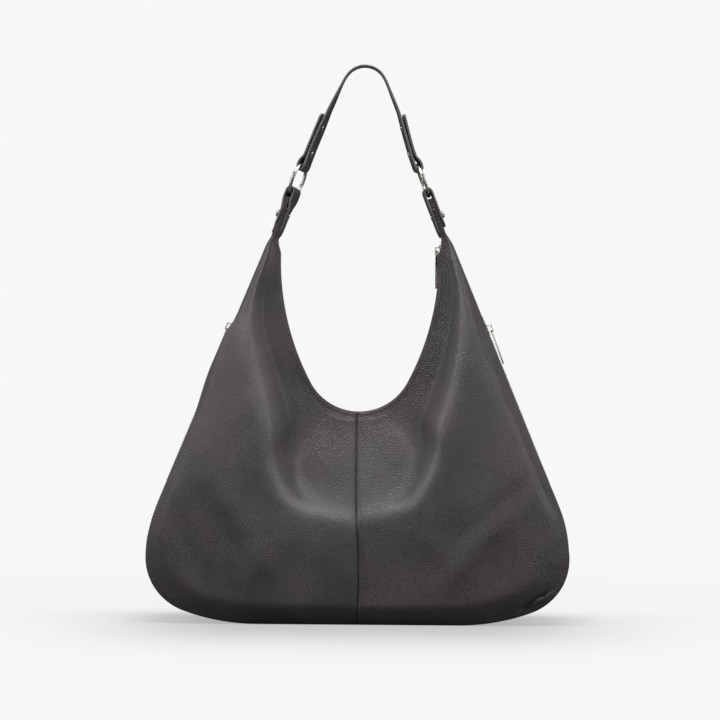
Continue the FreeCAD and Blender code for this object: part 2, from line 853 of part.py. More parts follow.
def make_sliders():
    frame = mouth_frame(1, TOP_SLIDER_AT, dim("top_zip_sink"))
    make_slider("top_zip_slider", frame)
    up = frame.Rotation.multVec(Vector(1, 0, 0))
    plumb = math.degrees(math.atan2(up.x, up.z))
    make_pull("top_zip_pull", pull_frame(frame, plumb, dim("top_pull_yaw")))
    for side, hand in ((-1, "left"), (1, "right")):
        frame = side_frame(side, SIDE_ZIP_TOP, dim("side_zip_sink"))
        make_slider(f"side_zip_slider_{hand}", frame)
        make_pull(f"side_zip_pull_{hand}", pull_frame(frame, SIDE_PULL_TILT, 0))


# ---------------------------------------------------------------- rings, tabs and their screws


def ring_frame(side, along):
    """The frame on a ring's long axis: z up the axis, x outwards, at a distance from its centre."""
    lean = Rotation(Vector(0, 1, 0), -side * dim("ring_lean"))
    turn = Rotation() if side > 0 else Rotation(Vector(0, 0, 1), 180)
    yaw = Rotation(Vector(0, 0, 1), -yaw_of(side))
    base = Vector(side * dim("ring_span"), 0, dim("ring_height"))
    place = Placement(base, lean * turn * yaw)
    return place.multiply(Placement(Vector(0, 0, along), Rotation()))


FOLD_CLEAR = 0.35


def fold_reach(width):
    """From the middle of a ring's wire to the inside of a fold of that width round it."""
    return WIRE_RADIUS - math.sqrt((dim("ring_inner") / 2) ** 2 - (width / 2) ** 2) + FOLD_CLEAR


TAB_RISE = fold_reach(dim("tab_width"))


def make_ring(side, hand):
    ring = doc.addObject("Part::Torus", f"ring_{hand}")
    ring.setExpression("Radius1", bound("(ring_inner + ring_wire) / 2"))
    ring.setExpression("Radius2", bound("ring_wire / 2"))
    edge_on = Placement(Vector(), Rotation(Vector(0, 1, 0), 90))
    ring.Placement = ring_frame(side, 0).multiply(edge_on)
    keep(ring, f"ring_{hand}")


def make_tab(side, hand):
    """A strip of leather folded over the ring's wire, its two legs holding the horn's core."""
    name = f"tab_{hand}"
    outer, inner = "tab_gap / 2 + tab_leather", "tab_gap / 2"
    spring = TAB_RISE - dim("tab_gap") / 2
    height = f"tab_length + {spring:.4f}"
    low = "-tab_length"
    blank = fuse(
        f"{name}_blank",
        [
            box(f"{name}_legs", (f"2 * ({outer})", "tab_width", height), (f"-({outer})", "-tab_width / 2", low)),
            cylinder(f"{name}_fold", outer, "tab_width", ("0", "-tab_width / 2", f"{spring:.4f}"), "y"),
        ],
    )
    room = fuse(
        f"{name}_room",
        [
            box(f"{name}_gap", ("tab_gap", "tab_width + 2", f"{height} + 1"), (f"-{inner}", "-tab_width / 2 - 1", f"{low} - 1")),
            cylinder(f"{name}_bend", inner, "tab_width + 2", ("0", "-tab_width / 2 - 1", f"{spring:.4f}"), "y"),
            cylinder(f"{name}_screw_hole", "screw_barrel / 2 + hole_clearance", "40", ("-20", "0", "-tab_screw_drop"), "x"),
        ],
    )
    tab = cut(name, blank, room)
    tab.Placement = ring_frame(side, -WIRE_RADIUS)
    keep(tab, name)


CORE_CLEAR = 1.5
CORE_TAIL = 4.0  # how far the core reaches down into the horn
CORE_TAIL_WIDTH = 14.0


def make_tab_core(side, hand):
    """The horn's stiffener: a block between the tab's legs with a tail down inside the leather."""
    name = f"tab_core_{hand}"
    high = -dim("ring_wire") / 2 - CORE_CLEAR
    low = -dim("tab_length")
    left = "-tab_gap / 2 + sheet_gap"
    blank = fuse(
        f"{name}_blank",
        [
            box(f"{name}_block", ("tab_gap - 2 * sheet_gap", "tab_width - 2", f"{high - low}"), (left, "-tab_width / 2 + 1", f"{low}")),
            box(
                f"{name}_tail",
                ("tab_gap - 2 * sheet_gap", f"{CORE_TAIL_WIDTH}", f"{CORE_TAIL + 1}"),
                (left, f"-{CORE_TAIL_WIDTH / 2}", f"{low - CORE_TAIL}"),
            ),
        ],
    )
    hole = cylinder(f"{name}_hole", "screw_barrel / 2 + hole_clearance", "40", ("-20", "0", "-tab_screw_drop"), "x")
    core = cut(name, blank, hole)
    core.Placement = ring_frame(side, -WIRE_RADIUS)
    keep(core, name)


def make_tab_screws(side, hand):
    """A barrel with a flat back on the inner leg and a domed stud screwed in from outside."""
    reach = "tab_gap / 2 + tab_leather"
    barrel = fuse(
        f"screw_barrel_blank_{hand}",
        [
            cylinder(f"barrel_tube_{hand}", "screw_barrel / 2", f"2 * ({reach}) + seat_gap", (f"-({reach}) - seat_gap", "0", "0"), "x"),
            cylinder(f"barrel_back_{hand}", "screw_back / 2", "screw_back_height", (f"-({reach}) - seat_gap - screw_back_height", "0", "0"), "x"),
        ],
    )
    bore = cylinder(f"barrel_bore_{hand}", "screw_bore / 2 + hole_clearance", f"2 * ({reach}) + 1", (f"-({reach}) + 1", "0", "0"), "x")
    post = cut(f"tab_screw_barrel_{hand}", barrel, bore)
    seat = f"{reach} + seat_gap"
    stud = fuse(
        f"tab_screw_stud_{hand}",
        [
            cylinder(f"stud_shank_{hand}", "screw_bore / 2", f"{reach} + 0.6", ("0", "0", "0"), "x"),
            domed_head(f"stud_head_{hand}", "screw_head / 2", "0.8", "screw_head_height", seat, 1),
        ],
    )
    for thing, name in ((post, f"tab_screw_barrel_{hand}"), (stud, f"tab_screw_stud_{hand}")):
        thing.Placement = ring_frame(side, -WIRE_RADIUS - dim("tab_screw_drop"))
        keep(thing, name)


def make_ring_ends():
    for side, hand in ((-1, "left"), (1, "right")):
        make_ring(side, hand)
        make_tab(side, hand)
        make_tab_core(side, hand)
        make_tab_screws(side, hand)


# ---------------------------------------------------------------- strap, its folded ends and rivets

LOOP_DROP = fold_reach(dim("strap_width"))
BAND_OFFSET = dim("loop_gap") / 2 + dim("strap_leather") / 2


def strap_track():
    """The band's middle line from its right cut to its left cut, over the top."""
    lean = math.radians(dim("strap_lean"))
    radius = dim("strap_top_radius")
    centre = (0.0, dim("strap_top") - dim("strap_leather") / 2 - radius)
    spring = (radius * math.cos(lean), centre[1] + radius * math.sin(lean))
    foot = end_frame(1, 0).multVec(Vector(-BAND_OFFSET, 0, dim("strap_cut")))
    track = Track()
    track.line((foot.x, foot.z), spring)
    track.arc(centre, radius, dim("strap_lean"), 180 - dim("strap_lean"))
    foot = end_frame(-1, 0).multVec(Vector(-BAND_OFFSET, 0, dim("strap_cut")))
    track.line((-spring[0], spring[1]), (foot.x, foot.z))
    return track


def end_frame(side, along):
    """The frame of a folded end: z up the strap's leg, x outwards, origin on the ring's top wire."""
    top = ring_frame(side, WIRE_RADIUS).Base
    lean = Rotation(Vector(0, 1, 0), -side * strap_leg_lean(top))
    turn = Rotation() if side > 0 else Rotation(Vector(0, 0, 1), 180)
    yaw = Rotation(Vector(0, 0, 1), -yaw_of(side))
    place = Placement(top, lean * turn * yaw)
    return place.multiply(Placement(Vector(0, 0, along), Rotation()))


def strap_leg_lean(top):
    """The lean of a leg that leaves the ring's top wire and ends tangent to the top bend."""
    radius = dim("strap_top_radius")
    centre = (0.0, dim("strap_top") - dim("strap_leather") / 2 - radius)
    rise, run = centre[1] - top.z, abs(top.x)
    reach, grown = math.hypot(rise, run), radius + BAND_OFFSET
    return math.degrees(math.atan2(run, rise) - math.asin(grown / reach)) + 0.0


def strap_section(track, distance, twist):
    """A cross-section of the band, turned about its line by the twist."""
    here, near, far = (track.point(d) for d in (distance, distance - 0.05, distance + 0.05))
    way = Vector(far[0] - near[0], 0, far[1] - near[1]).normalize()
    normal = Vector(way.z, 0, -way.x)
    turn = Rotation(way, twist)
    across = turn.multVec(Vector(0, 1, 0)) * (dim("strap_width") / 2)
    thick = turn.multVec(normal) * (dim("strap_leather") / 2)
    middle = flat(here)
    corners = [middle + across + thick, middle + across - thick, middle - across - thick, middle - across + thick]
    return Part.makePolygon(corners + corners[:1])


def make_strap():
    """The band over the top, with holes for the rivets."""
    track = strap_track()
    sections = []
    for share in spread(0.0, 1.0, 37):
        right = yaw_of(1) * (1 - smooth(0.22, 0.45, share))
        left = yaw_of(-1) * smooth(0.55, 0.78, share)
        sections.append(strap_section(track, track.length * share, left - right))
    band = Part.makeLoft(sections, True, False)
    for side in (-1, 1):
        for drill in rivet_drills(side):
            band = band.cut(drill)
    keep_shape("strap", band)


def rivet_heights():
    return (dim("rivet_first"), dim("rivet_first") + dim("rivet_spacing"))


def rivet_drills(side):
    radius = dim("rivet_post") / 2 + dim("hole_clearance")
    drills = []
    for height in rivet_heights():
        drill = Part.makeCylinder(radius, 40, Vector(-20, 0, height), Vector(1, 0, 0))
        drill.Placement = end_frame(side, 0).multiply(drill.Placement)
        drills.append(drill)
    return drills


def end_profile():
    """The folded end's middle line in its own frame, from the cut, round the fold and up the flap."""
    leg = BAND_OFFSET
    bend = -LOOP_DROP + dim("loop_gap") / 2
    near = -leg + dim("flap_gap") + dim("strap_leather")
    shoulder = dim("rivet_first") - dim("rivet_head") / 2 - 0.8
    return leg, bend, near, shoulder


def strip_edges(offset):
    """The folded end's middle line moved sideways by offset, as a list of edges."""
    leg, bend, near, shoulder = end_profile()
    grown = leg + offset
    start = Vector(-grown, 0, dim("strap_cut"))
    low = Vector(-grown, 0, bend)
    bottom, turn = Vector(0, 0, bend - grown), Vector(grown, 0, bend)
    above_wire = Vector(grown, 0, dim("ring_wire") / 2)
    slope_end = Vector(near + offset, 0, shoulder)
    tip = Vector(near + offset, 0, dim("flap_length"))
    middle = (above_wire.z + slope_end.z) / 2
    easing = Part.BSplineCurve()
    easing.buildFromPoles([above_wire, Vector(grown, 0, middle), Vector(slope_end.x, 0, middle), slope_end], False, 3)
    return [
        Part.LineSegment(start, low).toShape(),
        Part.Arc(low, bottom, turn).toShape(),
        Part.LineSegment(turn, above_wire).toShape(),
        easing.toShape(),
        Part.LineSegment(slope_end, tip).toShape(),
    ], start, tip


def make_strap_ends():
    for side, hand in ((-1, "left"), (1, "right")):
        half = dim("strap_leather") / 2
        outer, outer_start, outer_tip = strip_edges(half)
        inner, inner_start, inner_tip = strip_edges(-half)
        lift = Vector(0, 0, -dim("sheet_gap"))
        cap = Part.LineSegment(outer_start, inner_start).toShape()
        nose = Part.LineSegment(outer_tip, inner_tip).toShape()
        face = Part.Face(Part.Wire(Part.__sortEdges__(outer + inner + [cap, nose])))
        face.translate(Vector(0, -dim("strap_width") / 2, 0))
        fold = face.extrude(Vector(0, dim("strap_width"), 0))
        top = Part.makeBox(20, 60, 1, Vector(-20, -30, dim("strap_cut") + lift.z))
        fold = fold.cut(top)
        fold.Placement = end_frame(side, 0).multiply(fold.Placement)
        for drill in rivet_drills(side):
            fold = fold.cut(drill)
        keep_shape(f"strap_end_{hand}", fold)


def domed_head(name, radius, rim, height, seat, way):
    """A flat-backed dome on the X axis: its back at seat, its crown towards way."""
    sign = "" if way > 0 else "-"
    ball = f"(({height} - {rim}) ^ 2 + ({radius}) ^ 2) / (2 * ({height} - {rim}))"
    sphere = doc.addObject("Part::Sphere", f"{name}_ball")
    sphere.setExpression("Radius", bound(ball))
    sphere.setExpression("Placement.Base.x", bound(f"{seat} + {sign}1 * ({height} - {ball})"))
    near = seat if way > 0 else f"{seat} - {height} - 1"
    barrel = cylinder(f"{name}_barrel", radius, f"{height} + 1", (near, "0", "0"), "x")
    head = doc.addObject("Part::Common", name)
    head.Base, head.Tool = sphere, barrel
    return head


def make_rivets():
    """Domed rivets through the band and its folded end: posts from inside, caps outside."""
    inner = "-(loop_gap / 2 + strap_leather) - seat_gap"
    outer = "-(loop_gap / 2) + flap_gap + strap_leather + seat_gap"
    head = ("rivet_head / 2", "0.4", "rivet_head_height")
    for side, hand in ((-1, "left"), (1, "right")):
        posts, caps = [], []
        for number, height in enumerate(rivet_heights(), start=1):
            name = f"{hand}_{number}"
            post = fuse(
                f"rivet_{name}",
                [
                    domed_head(f"rivet_head_{name}", *head, inner, -1),
                    cylinder(f"rivet_post_{name}", "rivet_post / 2", f"{outer} - ({inner}) - seat_gap", (f"{inner} - 0.2", "0", "0"), "x"),
                ],
            )
            cap = domed_head(f"rivet_cap_{name}", *head, outer, 1)
            for thing, group in ((post, posts), (cap, caps)):
                thing.Placement = end_frame(side, height)
                group.append(thing)
        for name, group in ((f"strap_rivets_{hand}", posts), (f"strap_rivet_caps_{hand}", caps)):
            pair = doc.addObject("Part::Compound", name)
            pair.Links = group
            keep(pair, name)


# ---------------------------------------------------------------- build, check and write


def check_objects():
    """Stops the build if any object failed or any sub-part isn't valid solids."""
    for thing in doc.Objects:
        if {"Invalid", "Error"} & set(thing.State):
            raise RuntimeError(f"{thing.Label} failed: {thing.State}")
    for thing in NODES:
        shape = thing.Shape
        if shape.isNull() or not shape.isValid() or not shape.Solids:
            raise RuntimeError(f"{thing.Label} has no valid solid")
        if min(solid.Volume for solid in shape.Solids) <= 0:
            raise RuntimeError(f"{thing.Label} is inside out")


def main():
    make_panels()
    make_gussets()
    make_base_panel()
    make_base_board()
    make_lining()
    make_side_pockets()
    make_mouth()
    make_side_zips()
    make_sliders()
    make_ring_ends()
    make_strap()
    make_strap_ends()
    make_rivets()
    doc.recompute()
    check_objects()
    os.makedirs("parts", exist_ok=True)
    for thing in NODES:
        thing.Shape.exportStep(f"parts/{thing.Label}.step")
    print(f"{len(NODES)} sub-parts written")


main()
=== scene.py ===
"""Slouchy grained leather hobo bag: draped panels, zipped mouth and gussets, ring-hung strap."""

import json
import math

import bmesh
import bpy
import numpy as np
from mathutils import Matrix, Vector


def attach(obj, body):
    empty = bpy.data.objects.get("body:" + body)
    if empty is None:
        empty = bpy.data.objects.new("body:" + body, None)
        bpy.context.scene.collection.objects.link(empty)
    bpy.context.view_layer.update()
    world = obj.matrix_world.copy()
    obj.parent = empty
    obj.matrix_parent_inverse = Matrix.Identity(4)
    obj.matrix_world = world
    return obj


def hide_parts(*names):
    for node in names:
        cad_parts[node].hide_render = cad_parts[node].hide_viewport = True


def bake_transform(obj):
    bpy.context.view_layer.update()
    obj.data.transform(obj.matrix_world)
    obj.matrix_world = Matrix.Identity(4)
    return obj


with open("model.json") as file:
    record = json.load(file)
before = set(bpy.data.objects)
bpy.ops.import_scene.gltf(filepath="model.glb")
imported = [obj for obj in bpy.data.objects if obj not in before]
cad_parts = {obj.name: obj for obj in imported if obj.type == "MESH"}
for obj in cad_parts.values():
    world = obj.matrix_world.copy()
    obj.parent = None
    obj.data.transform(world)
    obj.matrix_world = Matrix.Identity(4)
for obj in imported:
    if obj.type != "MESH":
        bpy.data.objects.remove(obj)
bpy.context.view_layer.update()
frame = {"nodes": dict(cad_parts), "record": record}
MM = 0.001

# ---------------------------------------------------------------- sizes, in millimetres

BODY_HALF = 218.0
TOE_RADIUS, TOE_ANGLE = 220.0, 20.0
CORNER_RADIUS, HIP_RADIUS = 60.0, 143.0
NECK_OUTER, NECK_INNER, NECK_HEIGHT = 80.5, 69.1, 432.0
MOUTH_HEIGHT, MOUTH_RADIUS, MOUTH_SPAN, WAIST = 217.0, 58.0, 83.0, 375.0
HORN_END = 398.4
LEATHER = 1.4
BASE_HALF_LENGTH, BASE_HALF_WIDTH = 96.0, 56.3
ZIP_SINK = 3.25
TAPE = 0.7
SIDE_ZIP_SINK = 2.05
SIDE_ZIP_TOP, SIDE_ZIP_LENGTH = 304.0, 158.0
SLOT_HALF, SLOT_OVER = 5.8, 10.5
RING_SPAN, RING_HEIGHT, RING_LEAN = 65.0, 458.5, 21.0
RING_WIRE, RING_RADIUS = 3.6, 17.2
RING_YAW = {-1: 18.0, 1: -3.0}
END_YAW = {-1: 17.0, 1: -7.0}
TAB_YAW = {-1: 5.0, 1: -4.0}
FLAP_REST = 1.3  # gap in which the strap's flap settles against the strap
TAB_GAP, TAB_LEATHER, TAB_WIDTH, TAB_LENGTH, SCREW_DROP = 5.2, 2.3, 22.0, 44.0, 23.0
STRAP_WIDTH, STRAP_LEATHER, STRAP_TOP, STRAP_TOP_RADIUS = 20.0, 2.4, 579.0, 27.0
CROWN_RADIUS = 23.0  # the strap's real bend at the top, tighter than its plain model
STRAP_LEAN = 4.0  # the strap's top leans this far to the right
LOOP_GAP, FLAP_GAP, FLAP_LENGTH = 4.8, 2.2, 55.0
RIVETS = (12.0, 41.0)
HANDS = ((-1, "left"), (1, "right"))
FACES = ((-1, "front"), (1, "back"))


def smooth(low, high, value):
    """0 below low, 1 above high, a smooth step between."""
    share = np.clip((np.asarray(value, float) - low) / (high - low), 0.0, 1.0)
    return share * share * (3 - 2 * share)


def bump(value, centre, width):
    """A bell of height 1 at centre."""
    return np.exp(-(((np.asarray(value, float) - centre) / width) ** 2))


def through(stops, values, at):
    """A smooth curve through values at stops, read at the given places, with no overshoot."""
    stops, values, at = (np.asarray(v, float) for v in (stops, values, at))
    step = np.diff(stops)
    slope = np.diff(values) / step
    tangent = np.empty_like(values)
    tangent[0], tangent[-1] = slope[0], slope[-1]
    same = slope[:-1] * slope[1:] > 0
    with np.errstate(divide="ignore", invalid="ignore"):
        mean = 2 * slope[:-1] * slope[1:] / (slope[:-1] + slope[1:])
    tangent[1:-1] = np.where(same, mean, 0.0)
    which = np.clip(np.searchsorted(stops, at, side="right") - 1, 0, len(step) - 1)
    u = (at - stops[which]) / step[which]
    a, b = values[which], values[which + 1]
    ta, tb = tangent[which] * step[which], tangent[which + 1] * step[which]
    return a + u * ta + u * u * (3 * (b - a) - 2 * ta - tb) + u**3 * (2 * (a - b) + ta + tb)


# ---------------------------------------------------------------- outline of the bag's right half


class Track:
    """A path in the XZ plane, as fine points, read by its length from its start."""

    def __init__(self, points):
        points = np.array(points)
        steps = np.hypot(*np.diff(points, axis=0).T)
        self.points = points[np.concatenate([[True], steps > 1e-6])]
        self.lengths = np.concatenate([[0.0], np.cumsum(np.hypot(*np.diff(self.points, axis=0).T))])
        self.length = self.lengths[-1]

    def place(self, length):
        """X and Z at those lengths."""
        return np.array([np.interp(length, self.lengths, self.points[:, k]) for k in (0, 1)])

    def at(self, length, inset=0.0):
        """Points at those lengths, moved by inset to the right-hand side of the way along."""
        length = np.asarray(length, float)
        x, z = self.place(length)
        dx, dz = self.place(np.minimum(length + 1.0, self.length)) - self.place(np.maximum(length - 1.0, 0.0))
        size = np.hypot(dx, dz)
        return x + inset * dz / size, z - inset * dx / size

    def reach(self, height):
        """The length at which the path last rises through a height."""
        above = np.nonzero(self.points[:, 1] < height)[0]
        return self.lengths[min(above[-1] + 1, len(self.lengths) - 1)]


def arc(centre, radius, first, last):
    """Points of an arc, 0.3 mm apart."""
    count = max(3, int(radius * math.radians(abs(last - first)) / 0.3))
    angles = np.radians(np.linspace(first, last, count))
    return [(centre[0] + radius * math.cos(a), centre[1] + radius * math.sin(a)) for a in angles]


MOUTH_LOW = MOUTH_HEIGHT + MOUTH_RADIUS
MOUTH_RISE = WAIST - MOUTH_LOW
MOUTH_LEG = (MOUTH_SPAN**2 + MOUTH_RISE**2 - MOUTH_RADIUS**2) / (2 * (MOUTH_SPAN - MOUTH_RADIUS))


def mouth_points():
    """The mouth's edge, from the middle of its U up to the right horn."""
    turn = math.degrees(math.atan2(-MOUTH_RISE, MOUTH_LEG - MOUTH_SPAN))
    above = NECK_HEIGHT - WAIST
    neck = (above**2 + (MOUTH_SPAN - NECK_INNER) ** 2) / (2 * (MOUTH_SPAN - NECK_INNER))
    return (
        arc((0.0, MOUTH_LOW), MOUTH_RADIUS, -90, turn)
        + arc((MOUTH_SPAN - MOUTH_LEG, WAIST), MOUTH_LEG, turn, 0)
        + arc((MOUTH_SPAN - neck, WAIST), neck, 0, math.degrees(math.asin(above / neck)))
    )


def outer_points():
    """The body's outline, from the middle of its base up to the right horn, and the side's lean."""
    sine, cosine = math.sin(math.radians(TOE_ANGLE)), math.cos(math.radians(TOE_ANGLE))
    straight = BODY_HALF - TOE_RADIUS * sine - CORNER_RADIUS * (1 - sine)
    corner_x = BODY_HALF - CORNER_RADIUS
    corner_z = TOE_RADIUS * (1 - cosine) + CORNER_RADIUS * cosine
    hip_x = BODY_HALF - HIP_RADIUS
    reach = math.dist((NECK_OUTER, NECK_HEIGHT), (hip_x, corner_z))
    bearing = math.atan2(NECK_HEIGHT - corner_z, NECK_OUTER - hip_x)
    lean = math.degrees(bearing - math.acos(HIP_RADIUS / reach))
    points = (
        [(x, 0.0) for x in np.arange(0.0, straight, 0.3)]
        + arc((straight, TOE_RADIUS), TOE_RADIUS, -90, TOE_ANGLE - 90)
        + arc((corner_x, corner_z), CORNER_RADIUS, TOE_ANGLE - 90, 0)
        + arc((hip_x, corner_z), HIP_RADIUS, 0, lean)
    )
    start = np.array(points[-1])
    end = np.array((NECK_OUTER, NECK_HEIGHT))
    count = int(np.linalg.norm(end - start) / 0.3)
    return points + [tuple(start + (end - start) * i / count) for i in range(1, count + 1)], lean


MOUTH = Track(mouth_points())
OUTER_POINTS, SIDE_LEAN = outer_points()
OUTER = Track(OUTER_POINTS)
MOUTH_TURN = math.degrees(math.atan2(MOUTH_RISE, MOUTH_LEG - MOUTH_SPAN))
MOUTH_MATCH = MOUTH_RADIUS * math.radians(90 - MOUTH_TURN)  # where the U's round bottom ends
BEARINGS = np.arctan2(OUTER.points[:, 0], MOUTH_LOW - OUTER.points[:, 1])
OUTER_MATCH = OUTER.lengths[np.nonzero(BEARINGS > MOUTH_MATCH / MOUTH_RADIUS)[0][0]]
MOUTH_END, OUTER_END = MOUTH.reach(HORN_END), OUTER.reach(HORN_END)
TAIL_END = 1.07  # the rib at which the horn ends, well up between the tab's legs
PINCH = {-1: (380.0, 402.5), 1: (390.0, 411.0)}  # heights over which each edge draws in


def rib_lengths(s):
    """How far along the mouth and the outline each rib's ends lie; s is above 1 inside the tab."""
    stops = (0.0, 0.5, 1.0, 1.1)
    ends = ((MOUTH_MATCH, MOUTH_END), (OUTER_MATCH, OUTER_END))
    return tuple(through(stops, (0.0, match, end, end + 0.2 * (end - match)), s) for match, end in ends)


def rib_at(outer_length):
    """The rib that meets the outline at a length."""
    table = np.linspace(0.0, 1.1, 1101)
    return float(np.interp(outer_length, rib_lengths(table)[1], table))


def pinch(x, z, way):
    """Draws the horn's edges together towards the tab's middle line; way is -1 mouth, 1 outline."""
    share = smooth(*PINCH[way], z)
    lean = math.radians(RING_LEAN)
    middle = RING_SPAN + (RING_HEIGHT - z) * math.tan(lean)
    return x + (middle + way * 2.1 / math.cos(lean) - x) * share, z


# ---------------------------------------------------------------- the drape of the leather

RIB_STOPS = [0.0, 0.125, 0.2, 0.25, 0.375, 0.5, 0.625, 0.75, 0.875, 1.0, 1.1]
RIDGE = {  # where the rolled ridge crosses each rib
    -1: [0.516, 0.462, 0.405, 0.358, 0.295, 0.335, 0.430, 0.590, 0.74, 0.66, 0.6],
    1: [0.508, 0.440, 0.352, 0.305, 0.248, 0.300, 0.380, 0.480, 0.62, 0.66, 0.6],
}
# where the crease inside the ridge lies, as a share of the ridge's place
VALLEY = [0.93, 0.92, 0.88, 0.72, 0.62, 0.6, 0.6, 0.62, 0.66, 0.7, 0.7]
BEYOND_STOPS = (0.42, 0.82, 1.0)  # from the ridge to the outer edge
DEPTHS = (  # half depths on each rib: at the mouth, half way to the crease, in it, on the ridge and beyond
    [11.2, 11.2, 11.2, 11.2, 11.2, 11.2, 11.2, 11.2, 11.0, 10.6, 10.2],
    [36.0, 32.5, 26.5, 19.5, 15.5, 15.0, 15.0, 14.5, 13.5, 11.8, 10.5],
    [61.0, 54.0, 42.0, 29.0, 21.5, 20.5, 20.5, 19.0, 16.5, 12.6, 10.7],
    [66.0, 65.5, 64.5, 64.0, 62.5, 58.5, 51.5, 41.5, 29.5, 14.0, 10.8],
    [69.5, 69.0, 68.0, 67.0, 63.5, 57.5, 47.5, 36.5, 25.6, 13.8, 10.8],
    [69.0, 68.5, 68.0, 67.0, 63.5, 54.5, 43.5, 32.5, 22.8, 13.0, 10.6],
    [57.6, 57.6, 57.6, 57.6, 57.4, 50.4, 40.0, 30.2, 20.6, 12.2, 10.4],
)


def edge_inset(z, side=1, face=1):
    """How far the front and back stop short of the outline, where the gusset rounds into view."""
    if side < 0 and face < 0:  # this edge slumps out over the gusset instead
        return 2.0 - 5.0 * smooth(200, 265, z) * (1 - smooth(293, 322, z))
    return 2.0 + 8.0 * smooth(70, 150, z) * (1 - smooth(280, 375, z))


def edge_depth(s):
    """Half the gusset's width at each rib."""
    return through(RIB_STOPS, DEPTHS[-1], s)


def value_noise(x, y, seed):
    """Smooth noise from -1 to 1 on a unit grid, the same every run."""
    random = np.random.default_rng(seed)
    table = random.uniform(-1, 1, (64, 64))
    xi, yi = np.floor(x).astype(int), np.floor(y).astype(int)
    xf, yf = x - xi, y - yi
    xf, yf = xf * xf * (3 - 2 * xf), yf * yf * (3 - 2 * yf)
    a, b = table[xi % 64, yi % 64], table[(xi + 1) % 64, yi % 64]
    c, d = table[xi % 64, (yi + 1) % 64], table[(xi + 1) % 64, (yi + 1) % 64]
    return (a + (b - a) * xf) * (1 - yf) + (c + (d - c) * xf) * yf


def soft_relief(x, z, seed):
    """Slow swells and faint puckers that any hanging leather has, in millimetres."""
    slow = value_noise(x / 62 + 9, z / 62 + 9, seed) + 0.5 * value_noise(x / 31 + 5, z / 31 + 5, seed + 1)
    fine = value_noise(x / 12 + 3, z / 12 + 7, seed + 2)
    return 1.1 * slow + 0.16 * fine


def fold_line(x, z, start, end, width):
    """A bell across a straight fold from start to end, fading at both ends."""
    along = np.array(end, float) - np.array(start, float)
    size = np.hypot(*along)
    u = ((x - start[0]) * along[0] + (z - start[1]) * along[1]) / size**2
    v = ((x - start[0]) * along[1] - (z - start[1]) * along[0]) / size
    return np.exp(-((v / width) ** 2)) * smooth(-0.25, 0.25, u) * (1 - smooth(0.75, 1.25, u))


FOLDS = {  # (start, end, width, height) on the front, in the bag's own X and Z
    -1: (
        ((-150, 150), (-95, 62), 15, 1.9),
        ((-196, 120), (-150, 30), 13, -1.4),
        ((-176, 205), (-196, 120), 10, -1.5),
        ((-60, 100), (-120, 40), 18, 1.2),
        ((-148, 300), (-165, 190), 9, -1.6),
    ),
    1: (
        ((150, 118), (88, 40), 13, 2.4),
        ((176, 150), (120, 96), 11, -1.6),
        ((60, 96), (120, 50), 16, 1.3),
        ((130, 330), (150, 230), 8, -1.7),
        ((166, 240), (196, 150), 12, 1.2),
    ),
}
PLEAT = ((170.0, 17.0), (177.0, 24.0), (184.0, 30.5), (193.0, 33.5))


def pleat(x, z):
    """The tuck low on the right: a sharp crease with a rolled lip above it."""
    depth = np.zeros_like(x)
    for (x0, z0), (x1, z1) in zip(PLEAT, PLEAT[1:]):
        size = math.dist((x0, z0), (x1, z1))
        u = np.clip(((x - x0) * (x1 - x0) + (z - z0) * (z1 - z0)) / size**2, 0, 1)
        gap = np.hypot(x - x0 - u * (x1 - x0), z - z0 - u * (z1 - z0))
        side = np.sign((x - x0) * (z1 - z0) - (z - z0) * (x1 - x0))
        depth = np.minimum(depth, -3.4 * np.exp(-((gap / 1.5) ** 2)))
        lip = np.maximum(depth, 2.0 * np.exp(-(((gap - 5) / 4.5) ** 2)))
        depth = np.where((side > 0) & (depth > -0.6), lip, depth)
    return depth


SETTLE_ROUNDS = 24


def settle(depth, rounds):
    """Evens out a grid of depths, with its four edges held."""
    for _ in range(rounds):
        inner = depth[1:-1, 1:-1]
        mean = (depth[:-2, 1:-1] + depth[2:, 1:-1] + depth[1:-1, :-2] + depth[1:-1, 2:]) / 4
        depth[1:-1, 1:-1] = inner + 0.8 * (mean - inner)
    return depth


def seam_drift(z):
    """The centre seam isn't quite straight."""
    return -2.2 * (z / MOUTH_HEIGHT) ** 1.3 + 0.5 * np.sin(z / 31.0)


